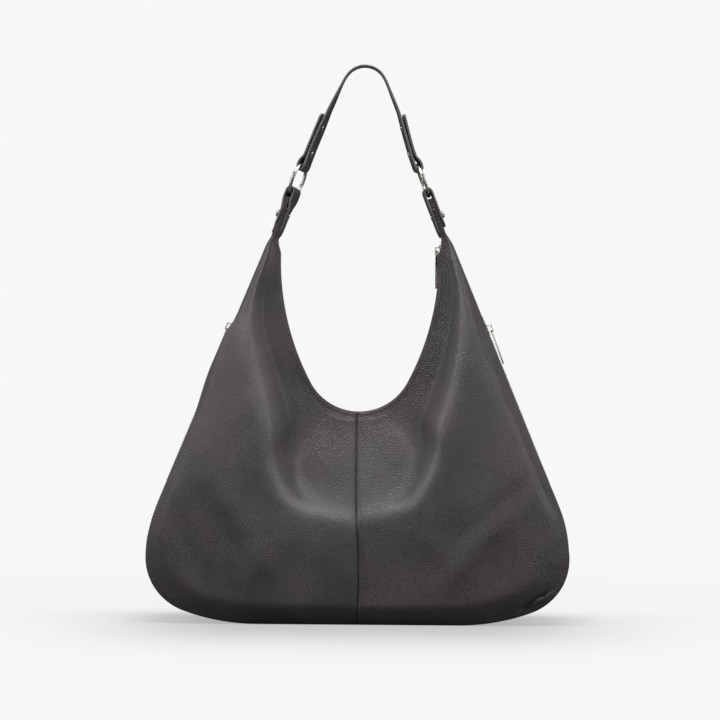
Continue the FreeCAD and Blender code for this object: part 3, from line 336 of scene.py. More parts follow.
def drape(side, face, s_values, t_values):
    """Points of a quarter of the leather: side -1 left or 1 right, face -1 front or 1 back."""
    s, t = np.meshgrid(s_values, t_values, indexing="ij")
    inner, outer = rib_lengths(s_values)
    ax, az = pinch(*MOUTH.at(inner), -1)
    bx, bz = OUTER.at(outer)
    inset = edge_inset(bz, side, face) * smooth(0.28, 0.42, s_values)
    short = np.array(OUTER.at(outer, -inset)) - np.array([bx, bz])
    bx, bz = pinch(bx, bz, 1)
    x = ax[:, None] + (bx - ax)[:, None] * t + short[0][:, None] * t**3
    z = az[:, None] + (bz - az)[:, None] * t + short[1][:, None] * t**3
    ridge = through(RIB_STOPS, RIDGE[side * (1 if face < 0 else -1)], s_values)
    rows = [through(RIB_STOPS, row, s_values) for row in DEPTHS]
    if face > 0:
        rows = [row * (1 - 0.03 * math.sin(3 * i)) for i, row in enumerate(rows[:-1])] + rows[-1:]
    valley = through(RIB_STOPS, VALLEY, s_values)
    depth = np.empty_like(x)
    for i, r in enumerate(ridge):
        stops = [0.0, 0.5 * valley[i] * r, valley[i] * r, r] + [r + k * (1 - r) for k in BEYOND_STOPS]
        depth[i] = through(stops, [row[i] for row in rows], t_values)
    depth = settle(depth, SETTLE_ROUNDS)
    calm = smooth(0.0, 0.06, t) * (1 - smooth(0.93, 1.0, t)) * (1 - smooth(0.86, 1.0, s))
    depth += soft_relief(x * side + 300 * side, z, 7 if face < 0 else 29) * calm
    if face < 0:
        for start, end, width, height in FOLDS[side]:
            depth += height * fold_line(x * side, z, start, end, width) * calm
        if side > 0:
            depth += pleat(x, z) * (1 - smooth(0.985, 1.0, t))
    else:
        for start, end, width, height in FOLDS[-side]:
            depth += 0.8 * height * fold_line(-x * side * 0.95, z * 1.05, start, end, width * 1.2) * calm
    # the mouth's turned edge, its topstitch line and the centre seam
    from_mouth = t * np.hypot(bx - ax, bz - az)[:, None]
    depth += 0.3 * bump(from_mouth, 1.6, 1.3) - 0.2 * bump(from_mouth, 3.6, 0.7)
    depth -= 1.3 * bump(x, 0.0, 0.9) + 0.35 * bump(x, 3.2, 0.6)
    depth += 0.4 * bump(x, 1.8, 0.9)
    x = x * side + (seam_drift(z) if face < 0 else 0.0) * bump(x, 0.0, 30.0)
    return np.stack([x, face * depth, z], axis=-1)


# painted highlight along the ridge and painted shade in the crease inside it: millimetres each way, and
# strengths from 0 to 1, at the stops below
RIDGE_HIGHLIGHT_SPREAD = {-1: (7.0, 8.0, 11.0, 13.0, 9.0), 1: (6.0, 7.0, 8.0, 8.0, 7.0)}
RIDGE_HIGHLIGHT_POWER = {-1: (0.3, 0.48, 0.85, 0.9, 0.75, 0.35, 0.0), 1: (0.28, 0.45, 0.85, 1.0, 0.95, 0.5, 0.0)}
CREASE_SHADE_POWER = {-1: (0.0, 0.25, 1.0, 1.0, 0.6, 0.3, 0.0), 1: (0.0, 0.2, 0.7, 0.85, 0.6, 0.35, 0.0)}
SPREAD_STOPS = (0, 0.15, 0.4, 0.7, 1.1)
RIDGE_HIGHLIGHT_STOPS = (0, 0.06, 0.18, 0.5, 0.8, 1.0, 1.1)
CREASE_SHADE_STOPS = (0, 0.1, 0.18, 0.3, 0.5, 0.8, 1.1)


def rib_widths(s_values):
    """How far apart each rib's two ends lie."""
    inner, outer = rib_lengths(s_values)
    return np.hypot(*(np.array(OUTER.at(outer)) - np.array(MOUTH.at(inner))))


def painted_light_marks(side, face, s_values, t_values):
    """Where a highlight is painted pale along the ridge, and where shade is painted dark in the crease inside
    it.
    """
    t = np.meshgrid(s_values, t_values, indexing="ij")[1]
    width = rib_widths(s_values)[:, None]
    hand = side * (1 if face < 0 else -1)
    ridge = through(RIB_STOPS, RIDGE[hand], s_values)
    crease = ridge * through(RIB_STOPS, VALLEY, s_values)
    spread = through(SPREAD_STOPS, RIDGE_HIGHLIGHT_SPREAD[hand], s_values)[:, None]
    power = through(RIDGE_HIGHLIGHT_STOPS, RIDGE_HIGHLIGHT_POWER[hand], s_values)[:, None]
    pale = power * bump((t - ridge[:, None]) * width, 0.0, spread)
    depth = through(CREASE_SHADE_STOPS, CREASE_SHADE_POWER[hand], s_values)[:, None]
    dark = depth * bump((t - crease[:, None]) * width, -3.0, 9.0)
    return np.clip(pale - 0.6 * dark, 0, 1), np.clip(dark, 0, 1)


# ---------------------------------------------------------------- mesh helpers


def stretches(places, counts):
    """Even steps between neighbouring places, with as many points in each stretch as counts says."""
    parts = [np.linspace(a, b, count)[:-1] for a, b, count in zip(places, places[1:], counts)]
    return np.concatenate([*parts, places[-1:]])


SKIN_S = stretches((0, 0.012, 0.95, TAIL_END), (9, 176, 44))
SKIN_T = stretches((0, 0.04, 0.9, 1.0), (12, 112, 24))


def placed(name, data):
    """A new object in the scene."""
    obj = bpy.data.objects.new(name, data)
    bpy.context.scene.collection.objects.link(obj)
    return obj


def new_object(name, verts, faces, material=None):
    """A mesh object in metres from points in millimetres, smooth shaded."""
    mesh = bpy.data.meshes.new(name)
    mesh.from_pydata([tuple(v) for v in np.asarray(verts) * MM], [], faces)
    mesh.validate()
    mesh.shade_smooth()
    if material:
        mesh.materials.append(material)
    return placed(name, mesh)


def grid_faces(rows, columns, flip=False, skip=None):
    """Quads of a grid of points, in the order of a row-major array."""
    faces = []
    for i in range(rows - 1):
        for j in range(columns - 1):
            if skip is not None and skip[i, j]:
                continue
            a = i * columns + j
            quad = (a, a + 1, a + columns + 1, a + columns)
            faces.append(quad[::-1] if flip else quad)
    return faces


def tube_faces(rings, around):
    """Faces of a closed tube of rings of points, with a cap at each end."""
    faces = []
    for r in range(rings - 1):
        for k in range(around):
            a, b = r * around + k, r * around + (k + 1) % around
            faces.append((a, b, b + around, a + around))
    return faces + [tuple(range(around))[::-1], tuple(range((rings - 1) * around, rings * around))]


def run_lengths(points):
    """How far along a polyline each of its points lies."""
    return np.concatenate([[0], np.cumsum(np.linalg.norm(np.diff(points, axis=0), axis=1))])


def thicken(obj, thickness, soften=0.0):
    """Gives a sheet its wall, inwards, and a small round on its rim."""
    wall = obj.modifiers.new("wall", "SOLIDIFY")
    wall.thickness = thickness * MM
    wall.offset = -1
    if soften:
        rim = obj.modifiers.new("rim", "BEVEL")
        rim.width = soften * MM
        rim.segments = 2
        rim.limit_method = "ANGLE"
        rim.angle_limit = math.radians(50)
    return obj


def plain_mesh(obj):
    """A plain mesh object in the place of a curve with modifiers."""
    depsgraph = bpy.context.evaluated_depsgraph_get()
    mesh = bpy.data.meshes.new_from_object(obj.evaluated_get(depsgraph), depsgraph=depsgraph)
    name = obj.name
    bpy.data.objects.remove(obj)
    return placed(name, mesh)


def fit_on(obj, body, *nodes, slot=None):
    """Rides a piece on a body in place of CAD nodes."""
    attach(obj, body)
    if nodes:
        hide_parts(*nodes)
    return obj


# ---------------------------------------------------------------- shader groups


SPAN_SOCKETS = ("Value", "From Min", "From Max", "To Min", "To Max")


class Nodes:
    """Short words for building a node tree."""

    def __init__(self, tree):
        self.tree = tree

    def add(self, kind, settings=None, **inputs):
        node = self.tree.nodes.new(kind)
        for name, value in (settings or {}).items():
            setattr(node, name, value)
        for name, value in inputs.items():
            self.put(node.inputs[name.replace("_", " ")], value)
        return node

    def put(self, socket, value):
        if hasattr(value, "is_output"):
            self.tree.links.new(value, socket)
        else:
            socket.default_value = value

    def maths(self, operation, a, b=0.0, c=None, clamp=False):
        node = self.tree.nodes.new("ShaderNodeMath")
        node.operation = operation
        node.use_clamp = clamp
        self.put(node.inputs[0], a)
        self.put(node.inputs[1], b)
        if c is not None:
            self.put(node.inputs[2], c)
        return node.outputs[0]

    def span(self, value, low, high, to_low=0.0, to_high=1.0):
        node = self.tree.nodes.new("ShaderNodeMapRange")
        node.interpolation_type = "SMOOTHSTEP"
        for label, number in zip(SPAN_SOCKETS, (value, low, high, to_low, to_high)):
            self.put(node.inputs[label], number)
        return node.outputs["Result"]

    def blend(self, share, a, b):
        node = self.tree.nodes.new("ShaderNodeMix")
        node.data_type = "RGBA"
        self.put(node.inputs[0], share)
        self.put(node.inputs[6], a)
        self.put(node.inputs[7], b)
        return node.outputs[2]

    def noise(self, place, scale, detail=2.0, **more):
        return self.add("ShaderNodeTexNoise", Vector=place, Scale=scale, Detail=detail, **more).outputs

    def relief(self, height, strength, distance):
        return self.add("ShaderNodeBump", Height=height, Strength=strength, Distance=distance).outputs[0]

    def mark(self, name):
        return self.add("ShaderNodeAttribute", {"attribute_name": name}).outputs["Fac"]

    def group(self, group, place, **values):
        node = self.add("ShaderNodeGroup", {"node_tree": group}, Coordinates=place, **values)
        return node.outputs

    def vector(self, operation, a, b=None, **inputs):
        node = self.add("ShaderNodeVectorMath", {"operation": operation}, **inputs)
        self.put(node.inputs[0], a)
        if b is not None:
            self.put(node.inputs[1], b)
        return node.outputs


def new_group(name, inputs, outputs):
    """A shader group that takes coordinates and the named numbers, and gives the named numbers."""
    group = bpy.data.node_groups.new(name, "ShaderNodeTree")
    group.interface.new_socket("Coordinates", in_out="INPUT", socket_type="NodeSocketVector")
    for label, default in inputs.items():
        socket = group.interface.new_socket(label, in_out="INPUT", socket_type="NodeSocketFloat")
        socket.default_value = default
    for label in outputs:
        group.interface.new_socket(label, in_out="OUTPUT", socket_type="NodeSocketFloat")
    nodes = Nodes(group)
    given, out = nodes.add("NodeGroupInput").outputs, nodes.add("NodeGroupOutput").inputs
    return group, nodes, given, out


def pebble_group():
    """Pebbled grain: rounded cells parted by creases, finer pores, and slow colour mottling."""
    sizes = {"Cell size": 0.0014, "Crease width": 0.2, "Mottle size": 0.07}
    group, n, given, out = new_group("Pebble grain", sizes, ("Height", "Crease", "Mottle", "Cell"))
    place = given["Coordinates"]
    density = n.maths("DIVIDE", 1.0, given["Cell size"])
    warp = n.noise(place, n.maths("MULTIPLY", density, 0.32))["Color"]
    shift = n.vector("SCALE", warp, Scale=n.maths("MULTIPLY", given["Cell size"], 1.1))[0]
    bent = n.vector("ADD", place, shift)[0]
    edges, cells = (
        n.add(
            "ShaderNodeTexVoronoi", {"feature": feature}, Vector=bent, Scale=density, Randomness=0.9
        ).outputs
        for feature in ("DISTANCE_TO_EDGE", "F1")
    )
    crease = n.span(edges["Distance"], 0.0, given["Crease width"], 1.0, 0.0)
    dome = n.maths("SUBTRACT", 1.0, n.maths("POWER", cells["Distance"], 1.6))
    pores = n.noise(place, n.maths("MULTIPLY", density, 3.1), 3.0)["Fac"]
    pebble = n.maths("MULTIPLY", dome, n.maths("MULTIPLY_ADD", crease, -0.85, 1.0))
    slow = n.noise(place, n.maths("DIVIDE", 1.0, given["Mottle size"]), 4.0, Roughness=0.6)["Fac"]
    n.put(out["Height"], n.maths("MULTIPLY_ADD", pores, 0.16, pebble))
    n.put(out["Crease"], crease)
    n.put(out["Mottle"], n.span(slow, 0.32, 0.68))
    n.put(out["Cell"], cells["Color"])
    return group


def weave_group():
    """Two crossing sets of threads on the piece's own coordinates."""
    group, n, given, out = new_group("Cloth weave", {"Thread": 0.0006}, ("Height", "Gap"))
    parts = n.add("ShaderNodeSeparateXYZ", Vector=given["Coordinates"]).outputs
    turn = n.maths("DIVIDE", math.pi, given["Thread"])
    flat = n.maths("ADD", parts["X"], n.maths("MULTIPLY", parts["Y"], 0.73))
    one, two = (
        n.maths("ABSOLUTE", n.maths("SINE", n.maths("MULTIPLY", n.maths(crossing, flat, parts["Z"]), turn)))
        for crossing in ("ADD", "SUBTRACT")
    )
    height = n.maths("MAXIMUM", one, n.maths("MULTIPLY", two, 0.85))
    n.put(out["Height"], height)
    n.put(out["Gap"], n.maths("SUBTRACT", 1.0, height, clamp=True))
    return group


def wear_group():
    """Fine brushing, dust and faint scratches for metal."""
    group, n, given, out = new_group("Metal wear", {"Scale": 260.0}, ("Smudge", "Scratch"))
    smudge = n.noise(given["Coordinates"], 160.0, 3.0)["Fac"]
    stretch = n.add("ShaderNodeMapping", Vector=given["Coordinates"], Scale=(1.0, 1.0, 0.12)).outputs[0]
    n.put(out["Smudge"], n.span(smudge, 0.35, 0.7))
    n.put(out["Scratch"], n.noise(stretch, given["Scale"])["Fac"])
    return group


PEBBLE, WEAVE, WEAR = pebble_group(), weave_group(), wear_group()


# ---------------------------------------------------------------- materials


def new_material(name, **sockets):
    """A material with a Principled shader whose plain values are set on its own sockets."""
    material = bpy.data.materials.new(name)
    material.use_nodes = True
    nodes = Nodes(material.node_tree)
    shader = material.node_tree.nodes["Principled BSDF"]
    for label, value in sockets.items():
        shader.inputs[label.replace("_", " ")].default_value = value
    place = nodes.add("ShaderNodeTexCoord").outputs["Object"]
    return material, nodes, shader, place


def shade(colour, share=1.0):
    """A colour as four numbers, darkened to a share of itself."""
    return (*(share * c for c in colour), 1)


def grained_leather(name, dark, light, brown, cell, strength, roughness, edge=None, ridge_highlight=None):
    """Pebbled leather; edge is the colour of its painted edges, edge paint lightened to stand in for the
    highlight along them, marked by the piece's edge attribute; a last colour, when given, is a highlight
    painted along the piece's pale attribute, with shade painted dark along its dark attribute.
    """
    look = {"Specular_IOR_Level": 0.5, "Sheen_Weight": 0.06, "Sheen_Roughness": 0.5}
    material, n, shader, place = new_material(name, Coat_Weight=0.08, Coat_Roughness=0.34, **look)
    grain = n.group(PEBBLE, place, Cell_size=cell)
    crease = grain["Crease"]
    body = n.blend(grain["Mottle"], shade(dark), shade(light))
    body = n.blend(n.span(n.noise(place, 11.0)["Fac"], 0.44, 0.66, 0.0, 0.75), body, shade(brown))
    body = n.blend(n.maths("MULTIPLY", crease, 0.45), body, shade(dark, 0.45))
    varied = n.span(grain["Cell"], 0.0, 1.0, roughness - 0.05, roughness + 0.05)
    rough = n.maths("MULTIPLY_ADD", crease, 0.22, varied)
    # painted highlight along the ridge, strongest on the grain's tops, and painted shade in the crease inside
    # it
    if ridge_highlight:
        pale, crease_shade = n.mark("pale"), n.mark("dark")
        tops = n.span(grain["Height"], 0.25, 0.9, 0.35, 1.0)
        body = n.blend(n.maths("MULTIPLY", n.maths("MULTIPLY", pale, tops), 0.72), body, shade(ridge_highlight))
        body = n.blend(n.maths("MULTIPLY", crease_shade, 0.62), body, shade(dark, 0.3))
        rough = n.maths("MULTIPLY_ADD", pale, -0.1, rough)
    # the edges' own paint, made lighter than the leather as a painted highlight along them
    if edge:
        mark = n.mark("edge")
        body = n.blend(mark, body, shade(edge))
        rough = n.maths("MULTIPLY_ADD", mark, -0.12, rough)
        strength = n.maths("MULTIPLY", n.maths("SUBTRACT", 1.0, mark, clamp=True), strength)
    n.put(shader.inputs["Base Color"], body)
    n.put(shader.inputs["Roughness"], rough)
    n.put(shader.inputs["Normal"], n.relief(grain["Height"], strength, 0.0005))
    return material


def woven_cloth(name, colour, gap_colour, thread):
    """Cloth with a weave, a little fuzz and darker gaps between its threads."""
    material, n, shader, place = new_material(name, Sheen_Weight=0.25, Sheen_Roughness=0.6, Roughness=0.85)
    weave = n.group(WEAVE, place, Thread=thread)
    tone = n.blend(n.maths("MULTIPLY", weave["Gap"], 0.8), shade(colour), shade(gap_colour))
    fuzz = n.span(n.noise(place, 240.0, 3.0)["Fac"], 0.3, 0.7, 0.0, 0.3)
    n.put(shader.inputs["Base Color"], n.blend(fuzz, tone, shade(gap_colour)))
    n.put(shader.inputs["Normal"], n.relief(weave["Height"], 0.5, 0.0003))
    return material


def plated_metal(name, colour, roughness, scratch=0.04):
    """Plated metal, smudged and finely scratched."""
    material, n, shader, place = new_material(name, Metallic=1.0)
    wear = n.group(WEAR, place)
    tone = n.blend(n.maths("MULTIPLY", wear["Smudge"], 0.25), shade(colour), shade(colour, 0.8))
    scratched = n.maths("MULTIPLY_ADD", wear["Scratch"], scratch * 2, roughness)
    n.put(shader.inputs["Base Color"], tone)
    n.put(shader.inputs["Roughness"], n.maths("MULTIPLY_ADD", wear["Smudge"], 0.1, scratched))
    n.put(shader.inputs["Normal"], n.relief(wear["Scratch"], scratch, 0.0002))
    return material


def twisted_thread(name, colour):
    """Sewing thread with its ply showing."""
    material, n, shader, place = new_material(name, Sheen_Weight=0.3, Sheen_Roughness=0.5, Roughness=0.7)
    ply = n.add("ShaderNodeTexWave", Vector=place, Scale=900.0, Distortion=1.0).outputs["Fac"]
    n.put(shader.inputs["Base Color"], n.blend(ply, shade(colour, 0.6), shade(colour)))
    n.put(shader.inputs["Normal"], n.relief(ply, 0.4, 0.0002))
    return material


BODY_LEATHER = grained_leather(
    "body_leather",
    dark=(0.047, 0.040, 0.043),
    light=(0.068, 0.058, 0.062),
    brown=(0.078, 0.059, 0.057),
    cell=0.0016,
    strength=0.72,
    roughness=0.38,
    # colour of the highlight painted along the ridge
    ridge_highlight=(0.185, 0.170, 0.176),
)
STRAP_LEATHER_SKIN = grained_leather(
    "strap_leather",
    dark=(0.058, 0.054, 0.056),
    light=(0.074, 0.069, 0.071),
    brown=(0.074, 0.064, 0.062),
    cell=0.0009,
    strength=0.25,
    roughness=0.44,
    # edge paint, lightened as a painted highlight along the strap's edges
    edge=(0.13, 0.122, 0.125),
)
BINDING_LEATHER = grained_leather(
    "binding_leather",
    dark=(0.06, 0.035, 0.034),
    light=(0.085, 0.052, 0.05),
    brown=(0.07, 0.04, 0.036),
    cell=0.0009,
    strength=0.2,
    roughness=0.45,
)
LINING_CLOTH = woven_cloth("lining_cloth", (0.1, 0.085, 0.08), (0.05, 0.042, 0.04), 0.0007)
ZIP_CLOTH = woven_cloth("zip_tape_cloth", (0.035, 0.031, 0.032), (0.016, 0.014, 0.015), 0.0005)
BOARD_PLASTIC = woven_cloth("base_board_fibre", (0.06, 0.058, 0.056), (0.04, 0.039, 0.038), 0.0009)
CORE_SPLIT = grained_leather(
    "split_leather",
    dark=(0.06, 0.045, 0.04),
    light=(0.08, 0.062, 0.055),
    brown=(0.07, 0.05, 0.04),
    cell=0.0007,
    strength=0.5,
    roughness=0.8,
)
NICKEL = plated_metal("polished_nickel", (0.62, 0.585, 0.53), 0.2, 0.01)
ZIP_NICKEL = plated_metal("zip_nickel", (0.55, 0.53, 0.5), 0.22, 0.03)
THREAD = twisted_thread("seam_thread", (0.11, 0.092, 0.09))


# ---------------------------------------------------------------- panels, gussets and base


def panel(side, hand, face, where):
    """A quarter of the leather body with its drape, seam edge and wall."""
    points = drape(side, face, SKIN_S, SKIN_T).reshape(-1, 3)
    faces = grid_faces(len(SKIN_S), len(SKIN_T), flip=side * face > 0)
    obj = new_object(f"{where}_leather_{hand}", points, faces, BODY_LEATHER)
    # the pale mark carries a painted highlight along the ridge, the dark mark painted shade in the crease
    # inside it
    for name, values in zip(("pale", "dark"), painted_light_marks(side, face, SKIN_S, SKIN_T)):
        obj.data.attributes.new(name, "FLOAT", "POINT").data.foreach_set("value", values.ravel())
    thicken(obj, LEATHER * 0.9)
    return fit_on(obj, "bag", f"{where}_panel_{hand}", slot="leather")


def gusset_half(s):
    """Half the width of the gusset's own leather at each rib."""
    return float(edge_depth(s)) - LEATHER - 0.1


def gusset_dip(s, z, share):
    """How far the gusset rounds away from the outline, at a share of its half width."""
    return float(edge_inset(z) * smooth(0.28, 0.42, s) + 0.9) * share**2.6


def gusset_row(side, s, columns):
    """Points across the gusset at rib s, for places from -1 front to 1 back."""
    outer = rib_lengths(s)[1]
    z = OUTER.at(outer)[1]
    places = []
    for v in columns:
        px, pz = pinch(*OUTER.at(outer, -gusset_dip(s, z, abs(v))), 1)
        places.append((side * float(px), v * gusset_half(s), float(pz)))
    return places


def slot_range():
    """The side zip's slot, as lengths of the outline's track."""
    top = OUTER.reach(SIDE_ZIP_TOP)
    return top - SIDE_ZIP_LENGTH - SLOT_OVER, top + SLOT_OVER


SLOT_STEPS, FLANK_STEPS = 8, 18  # quads across the slot, and on each side of it


def gusset(side, hand):
    """The side strip from the base's end up to the horn, with a slot for its zip."""
    low, high = slot_range()
    start = rib_lengths(rib_at(BASE_HALF_LENGTH + 0.3))[1]
    lengths = stretches((start, low, high, float(rib_lengths(TAIL_END)[1])), (46, 60, 60))
    count = 2 * FLANK_STEPS + SLOT_STEPS + 1
    shape = []
    for length in lengths:
        s = rib_at(length)
        edge = min(SLOT_HALF / gusset_half(s), 0.9)
        columns = stretches((-1, -edge, edge, 1), (FLANK_STEPS + 1, SLOT_STEPS + 1, FLANK_STEPS + 1))
        shape.append(gusset_row(side, s, columns))
    shape = np.array(shape)
    height = shape[:, :, 2]
    middle = 1 - smooth(0.8, 1.0, np.abs(np.linspace(-1, 1, count)))
    away = smooth(8.0, 22.0, np.abs(shape[:, :, 1])) * middle
    away = away * (1 - smooth(330, 380, height)) * smooth(12, 50, height)
    swell = soft_relief(shape[:, :, 1] + 200 * side, height, 41) * away
    shape[:, :, 0] += side * np.cos(np.radians(SIDE_LEAN)) * swell * 0.8
    skip = np.zeros((len(lengths) - 1, count - 1), bool)
    open_rows = (lengths[:-1] >= low - 1e-6) & (lengths[:-1] < high - 1e-6)
    skip[open_rows, FLANK_STEPS : FLANK_STEPS + SLOT_STEPS] = True
    faces = grid_faces(len(lengths), count, flip=side < 0, skip=skip)
    obj = new_object(f"gusset_leather_{hand}", shape.reshape(-1, 3), faces, BODY_LEATHER)
    thicken(obj, LEATHER, 0.35)
    return fit_on(obj, "bag", f"side_gusset_{hand}", slot="leather")


def base_sheet():
    """The base: a flat sheet with its turned edge a little rounded."""
    half_x, half_y = BASE_HALF_LENGTH, BASE_HALF_WIDTH
    xs, ys = np.linspace(-half_x, half_x, 97), np.linspace(-half_y, half_y, 57)
    verts = []
    for x in xs:
        for y in ys:
            rim = min(half_x - abs(x), half_y - abs(y))
            groove = 0.35 * math.exp(-(((rim - 6.0) / 0.9) ** 2))
            verts.append((x, y, 0.02 + groove + 0.5 * math.exp(-rim / 0.8)))
    obj = new_object("base_leather", verts, grid_faces(len(xs), len(ys)), BODY_LEATHER)
    thicken(obj, LEATHER - 0.1)
    return fit_on(obj, "bag", "base_panel", slot="base_leather")


def inner_sheet(points, gap):
    """A grid of points moved off its surface towards the bag's middle."""
    normal = np.cross(np.gradient(points, axis=0), np.gradient(points, axis=1))
    normal /= np.maximum(np.linalg.norm(normal, axis=2, keepdims=True), 1e-9)
    middle = np.array([0.0, 0.0, 120.0])
    inwards = np.sign(np.mean(np.sum(normal * (middle - points), axis=2)))
    return points + normal * inwards * gap


LINING_S = np.linspace(0.0, 0.97, 80)
LINING_T = np.linspace(0, 1, 121)


def lining(face, where):
    """The cloth that hangs inside one side of the bag, from the facing down."""
    start = np.minimum(8.0 / rib_widths(LINING_S), 0.6)
    places = start[:, None] + (0.985 - start)[:, None] * np.linspace(0, 1, 40)[None, :]
    sheets = []
    for side in (-1, 1):
        full = drape(side, face, LINING_S, LINING_T)
        sheet = np.empty((*places.shape, 3))
        for i, row_places in enumerate(places):
            for k in range(3):
                sheet[i, :, k] = np.interp(row_places, LINING_T, full[i, :, k])
        points = inner_sheet(sheet, 2.9).reshape(-1, 3)
        faces = grid_faces(*places.shape, flip=side * face > 0)
        sheets.append(new_object(f"lining_{where}_{side}", points, faces, LINING_CLOTH))
    obj = joined(f"lining_cloth_{where}", sheets)
    thicken(obj, 0.5)
    return fit_on(obj, "bag", f"lining_{where}", slot="lining")


def gusset_lining():
    """The lining's side strips, behind both gussets."""
    strips = []
    across = np.linspace(-0.93, 0.93, 13)
    for side in (-1, 1):
        rows = np.array([gusset_row(side, s, across) for s in np.linspace(0.14, 0.97, 70)])
        points = inner_sheet(rows, 6.2).reshape(-1, 3)
        faces = grid_faces(*rows.shape[:2], flip=side < 0)
        strips.append(new_object(f"lining_strip_{side}", points, faces, LINING_CLOTH))
    obj = joined("lining_cloth_sides", strips)
    thicken(obj, 0.5)
    return fit_on(obj, "bag", "lining_gusset", slot="lining")


for side, hand in HANDS:
    for face, where in FACES:
        panel(side, hand, face, where)
    gusset(side, hand)
base_sheet()


# ---------------------------------------------------------------- repeats along a path


ROW_INPUTS = (
    ("Path", "NodeSocketGeometry", None),
    ("Pitch", "NodeSocketFloat", 0.004),
    ("Sideways", "NodeSocketVector", (0.0, 1.0, 0.0)),
    ("Piece", "NodeSocketObject", None),
    ("Finish", "NodeSocketMaterial", None),
)


def row_tree():
    """Sets a piece down at even steps along a curve, turned to follow it."""
    tree = bpy.data.node_groups.new("Set in a row", "GeometryNodeTree")
    for label, kind, default in ROW_INPUTS:
        socket = tree.interface.new_socket(label, in_out="INPUT", socket_type=kind)
        if default is not None:
            socket.default_value = default
    tree.interface.new_socket("Row", in_out="OUTPUT", socket_type="NodeSocketGeometry")
    n = Nodes(tree)
    given, out = n.add("NodeGroupInput").outputs, n.add("NodeGroupOutput")
    spaced = n.add(
        "GeometryNodeResampleCurve", {"mode": "LENGTH"}, Curve=given["Path"], Length=given["Pitch"]
    )
    points = n.add("GeometryNodeCurveToPoints", {"mode": "EVALUATED"}, Curve=spaced.outputs[0])
    ahead = n.add("FunctionNodeAlignRotationToVector", {"axis": "X"}, Vector=points.outputs["Tangent"])
    level = n.add(
        "FunctionNodeAlignRotationToVector",
        {"axis": "Y", "pivot_axis": "X"},
        Rotation=ahead.outputs[0],
        Vector=given["Sideways"],
    )
    piece = n.add("GeometryNodeObjectInfo", Object=given["Piece"])
    copies = n.add(
        "GeometryNodeInstanceOnPoints",
        Points=points.outputs[0],
        Instance=piece.outputs["Geometry"],
        Rotation=level.outputs[0],
    )
    real = n.add("GeometryNodeRealizeInstances", Geometry=copies.outputs[0])
    finish = n.add("GeometryNodeSetMaterial", Geometry=real.outputs[0], Material=given["Finish"])
    n.put(out.inputs[0], finish.outputs[0])
    return tree


ROW = row_tree()


STITCH_RINGS = (  # place along the stitch, width and lift of each ring of its spindle
    (-0.5, 0.15, -1.2),
    (-0.36, 0.85, -0.2),
    (-0.12, 1.0, 0.1),
    (0.12, 1.0, 0.1),
    (0.36, 0.85, -0.2),
    (0.5, 0.15, -1.2),
)


def stitch_piece(length, radius):
    """One stitch: a short spindle that dips into the leather at both ends."""
    verts, sides = [], 6
    for along, wide, lift in STITCH_RINGS:
        for k in range(sides):
            a = 2 * math.pi * k / sides
            verts.append((along * length, radius * wide * math.cos(a), radius * (wide * math.sin(a) + lift)))
    return new_object("stitch", verts, tube_faces(len(STITCH_RINGS), sides))


def tooth_piece(pitch, width, height):
    """One zip tooth: a rounded bar clamped on the tape's edge, with a narrower hook towards the middle."""
    half, neck, shoulder = pitch * 0.33, 0.62, width * 0.55
    outline = [(-half, 0.0), (half, 0.0), (half, shoulder)]
    outline += [(half * neck, width), (-half * neck, width), (-half, shoulder)]
    levels = [(-height / 2, 0.72), (-height * 0.36, 1.0), (height * 0.36, 1.0), (height / 2, 0.72)]
    verts = [(x * scale, y, z) for z, scale in levels for x, y in outline]
    obj = new_object("tooth", verts, tube_faces(len(levels), len(outline)))
    obj.data.shade_flat()
    return obj


def row(name, points, pitch, piece, material, sideways=(0, 1, 0)):
    """A row of pieces along points in millimetres, as one plain mesh object."""
    curve = bpy.data.curves.new(name, "CURVE")
    curve.dimensions = "3D"
    line = curve.splines.new("POLY")
    line.points.add(len(points) - 1)
    for point, place in zip(line.points, points):
        point.co = (*(c * MM for c in place), 1)
    obj = placed(name, curve)
    modifier = obj.modifiers.new("row", "NODES")
    modifier.node_group = ROW
    values = {"Pitch": pitch * MM, "Sideways": sideways, "Piece": piece, "Finish": material}
    for item in ROW.interface.items_tree:
        if item.in_out == "INPUT" and item.name in values:
            modifier[item.identifier] = values[item.name]
    made = plain_mesh(obj)
    if not made.data.materials:
        made.data.materials.append(material)
    return made


def joined(name, objects):
    """Several mesh objects as one."""
    main = objects[0]
    picked = {"selected_objects": objects, "selected_editable_objects": objects}
    with bpy.context.temp_override(active_object=main, object=main, **picked):
        bpy.ops.object.join()
    main.name = name
    main.data.name = name
    return main


STITCH, STITCH_PITCH = stitch_piece(3.1, 0.3), 4.0
SMALL_STITCH, SMALL_STITCH_PITCH = stitch_piece(2.4, 0.25), 3.2
TOOTH_PITCH, TEETH_HALF_WIDTH = 2.1, 2.6
TOOTH = tooth_piece(TOOTH_PITCH, 2.5, 2.3)


# ---------------------------------------------------------------- seams


def mouth_stitches(face, where):
    """Topstitch that follows the mouth's edge from horn to horn."""
    s_values = np.linspace(0.985, 0.004, 150)
    t_values = np.linspace(0, 0.4, 161)
    in_from_edge = np.round(3.6 / rib_widths(s_values) / 0.4 * 160).astype(int)
    lines = []
    for side in (-1, 1):
        fine = drape(side, face, s_values, t_values)
        lines.append(fine[np.arange(len(s_values)), in_from_edge] + np.array([0, face * 0.22, 0]))
    points = [*lines[0], *lines[1][::-1]]
    obj = row(f"mouth_stitches_{where}", points, STITCH_PITCH, STITCH, THREAD, sideways=(0.0, 1.0, 0.0))
    return fit_on(obj, "bag")


for face, where in FACES:
    mouth_stitches(face, where)
    lining(face, where)
gusset_lining()


# ---------------------------------------------------------------- mouth: binding, zip tapes, teeth


